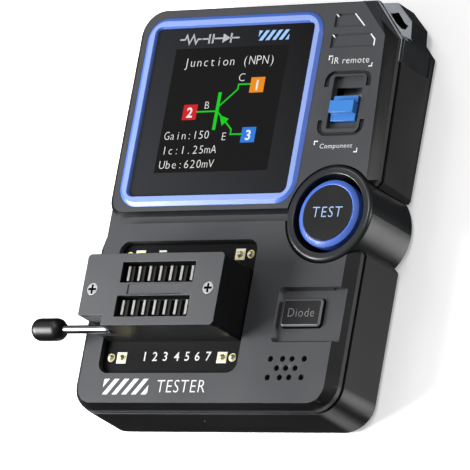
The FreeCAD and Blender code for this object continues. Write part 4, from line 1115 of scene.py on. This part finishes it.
# %% Camera
camera = shown("camera", bpy.data.cameras.new("camera"))
right = Vector((0.81550, 0.17117, -0.55286))
up = Vector((0.01599, 0.94824, 0.31715))
back = Vector((0.57853, -0.26748, 0.77055))
turn = Matrix((right, up, back)).transposed().to_4x4()
camera.matrix_world = Matrix.Translation(Vector((617.89, -291.43, 835.17)) * MM) @ turn
camera.data.lens = 416.8
camera.data.sensor_width = 36.0
camera.data.clip_start = 0.05
bpy.context.scene.camera = camera

# %% [markdown]
# ## Floor
#
# The floor is a plain sheet of pale matt paper. It gives a little light of its own, so that it
# stays pale to its edges. It is hidden from mirror-like reflections, because the side walls
# would otherwise show it as a broad white sheen.

# %% Paper floor
FLOOR_HALF, FLOOR_GAP = 2.5, 0.0002


def matt_paper(name, colour, other):
    """White paper whose 1.5 mm flecks vary its tone."""
    finish, tree, place = start_finish(name)
    flecks = add(tree, "ShaderNodeTexNoise", inputs={
        "Vector": place, "Scale": 1 / (1.5 * MM)})
    tone = add(tree, "ShaderNodeMix", {"data_type": "RGBA"}, {
        "Factor": flecks.outputs["Fac"], "A": linear(colour), "B": linear(other)})
    end_finish(tree, {
        "Roughness": 0.6, "Emission Color": linear("#ffffff"), "Emission Strength": 0.3,
        "Base Color": tone.outputs["Result"]})
    return finish


floor_form = bmesh.new()
bmesh.ops.create_grid(floor_form, x_segments=1, y_segments=1, size=FLOOR_HALF)
floor_mesh = bpy.data.meshes.new("floor")
floor_form.to_mesh(floor_mesh)
floor_form.free()
floor_mesh.materials.append(matt_paper("floor_matt_paper", "#f4f4f4", "#f8f8f8"))
floor = shown("floor", floor_mesh)
floor.location.z = cad_box[0][2] - FLOOR_GAP
floor.visible_glossy = False

# %% [markdown]
# ## Lamps
#
# Four square soft boxes look at the object. One stands close at the left, so the face darkens
# towards the right. A key light hangs high beyond the display end, one overhead lights the upper
# edges, and one low at the right draws thin lines along the right-hand edges.

# %% Soft boxes: place in metres, width in metres, power in watts
LIGHTS = {
    "box_near_left": ((-0.22, -0.10, 0.17), 0.14, 1.9),
    "key_high_left": ((-0.5, 0.9, 1.0), 0.5, 3.0),
    "edge_overhead": ((0.18, 0.42, 1.3), 0.4, 5.0),
    "edge_low_right": ((1.0, 0.2, 0.12), 0.3, 3.0),
}
for name, (spot, size, power) in LIGHTS.items():
    lamp = bpy.data.lights.new(name, "AREA")
    lamp.size = size
    lamp.energy = power
    holder = shown(name, lamp)
    holder.location = spot
    holder.rotation_euler = Vector(spot).to_track_quat("Z", "Y").to_euler()
    holder.visible_camera = False

# %% [markdown]
# ## Sky
#
# The sky is bright overhead and dark near the horizon, which keeps the side walls dark. Two soft
# cards of light lie below it. The floor is hidden from reflections, so the walls' sheen shows
# them: the brighter one streaks the barrel and the right side, the other the lower end.

# %% Sky and cards
CARD_DOWN, CARD_OUT = 0.77, 0.64
CARDS = {-8: 3.6, -98: 1.6}
sky = bpy.data.worlds.new("studio_sky")
sky.use_nodes = True
air = sky.node_tree
air.nodes.clear()
aim = add(air, "ShaderNodeTexCoord").outputs["Generated"]
height = add(air, "ShaderNodeSeparateXYZ", inputs={"Vector": aim})
dome = add(air, "ShaderNodeMapRange", {"interpolation_type": "SMOOTHSTEP"}, {
    "Value": height.outputs["Z"], "From Min": 0.1, "From Max": 0.9, "To Min": 0.03, "To Max": 0.45})
total = dome.outputs["Result"]
for azimuth, strength in CARDS.items():
    angle = math.radians(azimuth)
    middle = Vector((CARD_OUT * math.cos(angle), CARD_OUT * math.sin(angle), -CARD_DOWN))
    nearness = add(air, "ShaderNodeVectorMath", {"operation": "DOT_PRODUCT"}, {0: aim, 1: middle})
    card = add(air, "ShaderNodeMapRange", {"interpolation_type": "SMOOTHSTEP"}, {
        "Value": nearness.outputs["Value"], "From Min": 0.92, "From Max": 1.0, "To Max": strength})
    total = add(air, "ShaderNodeMath", {"operation": "ADD"},
                {0: total, 1: card.outputs["Result"]}).outputs[0]
glow = add(air, "ShaderNodeBackground", inputs={"Color": (1, 1, 1, 1), "Strength": total})
add(air, "ShaderNodeOutputWorld", inputs={"Surface": glow.outputs[0]})
bpy.context.scene.world = sky
bpy.context.scene.view_settings.view_transform = "Standard"
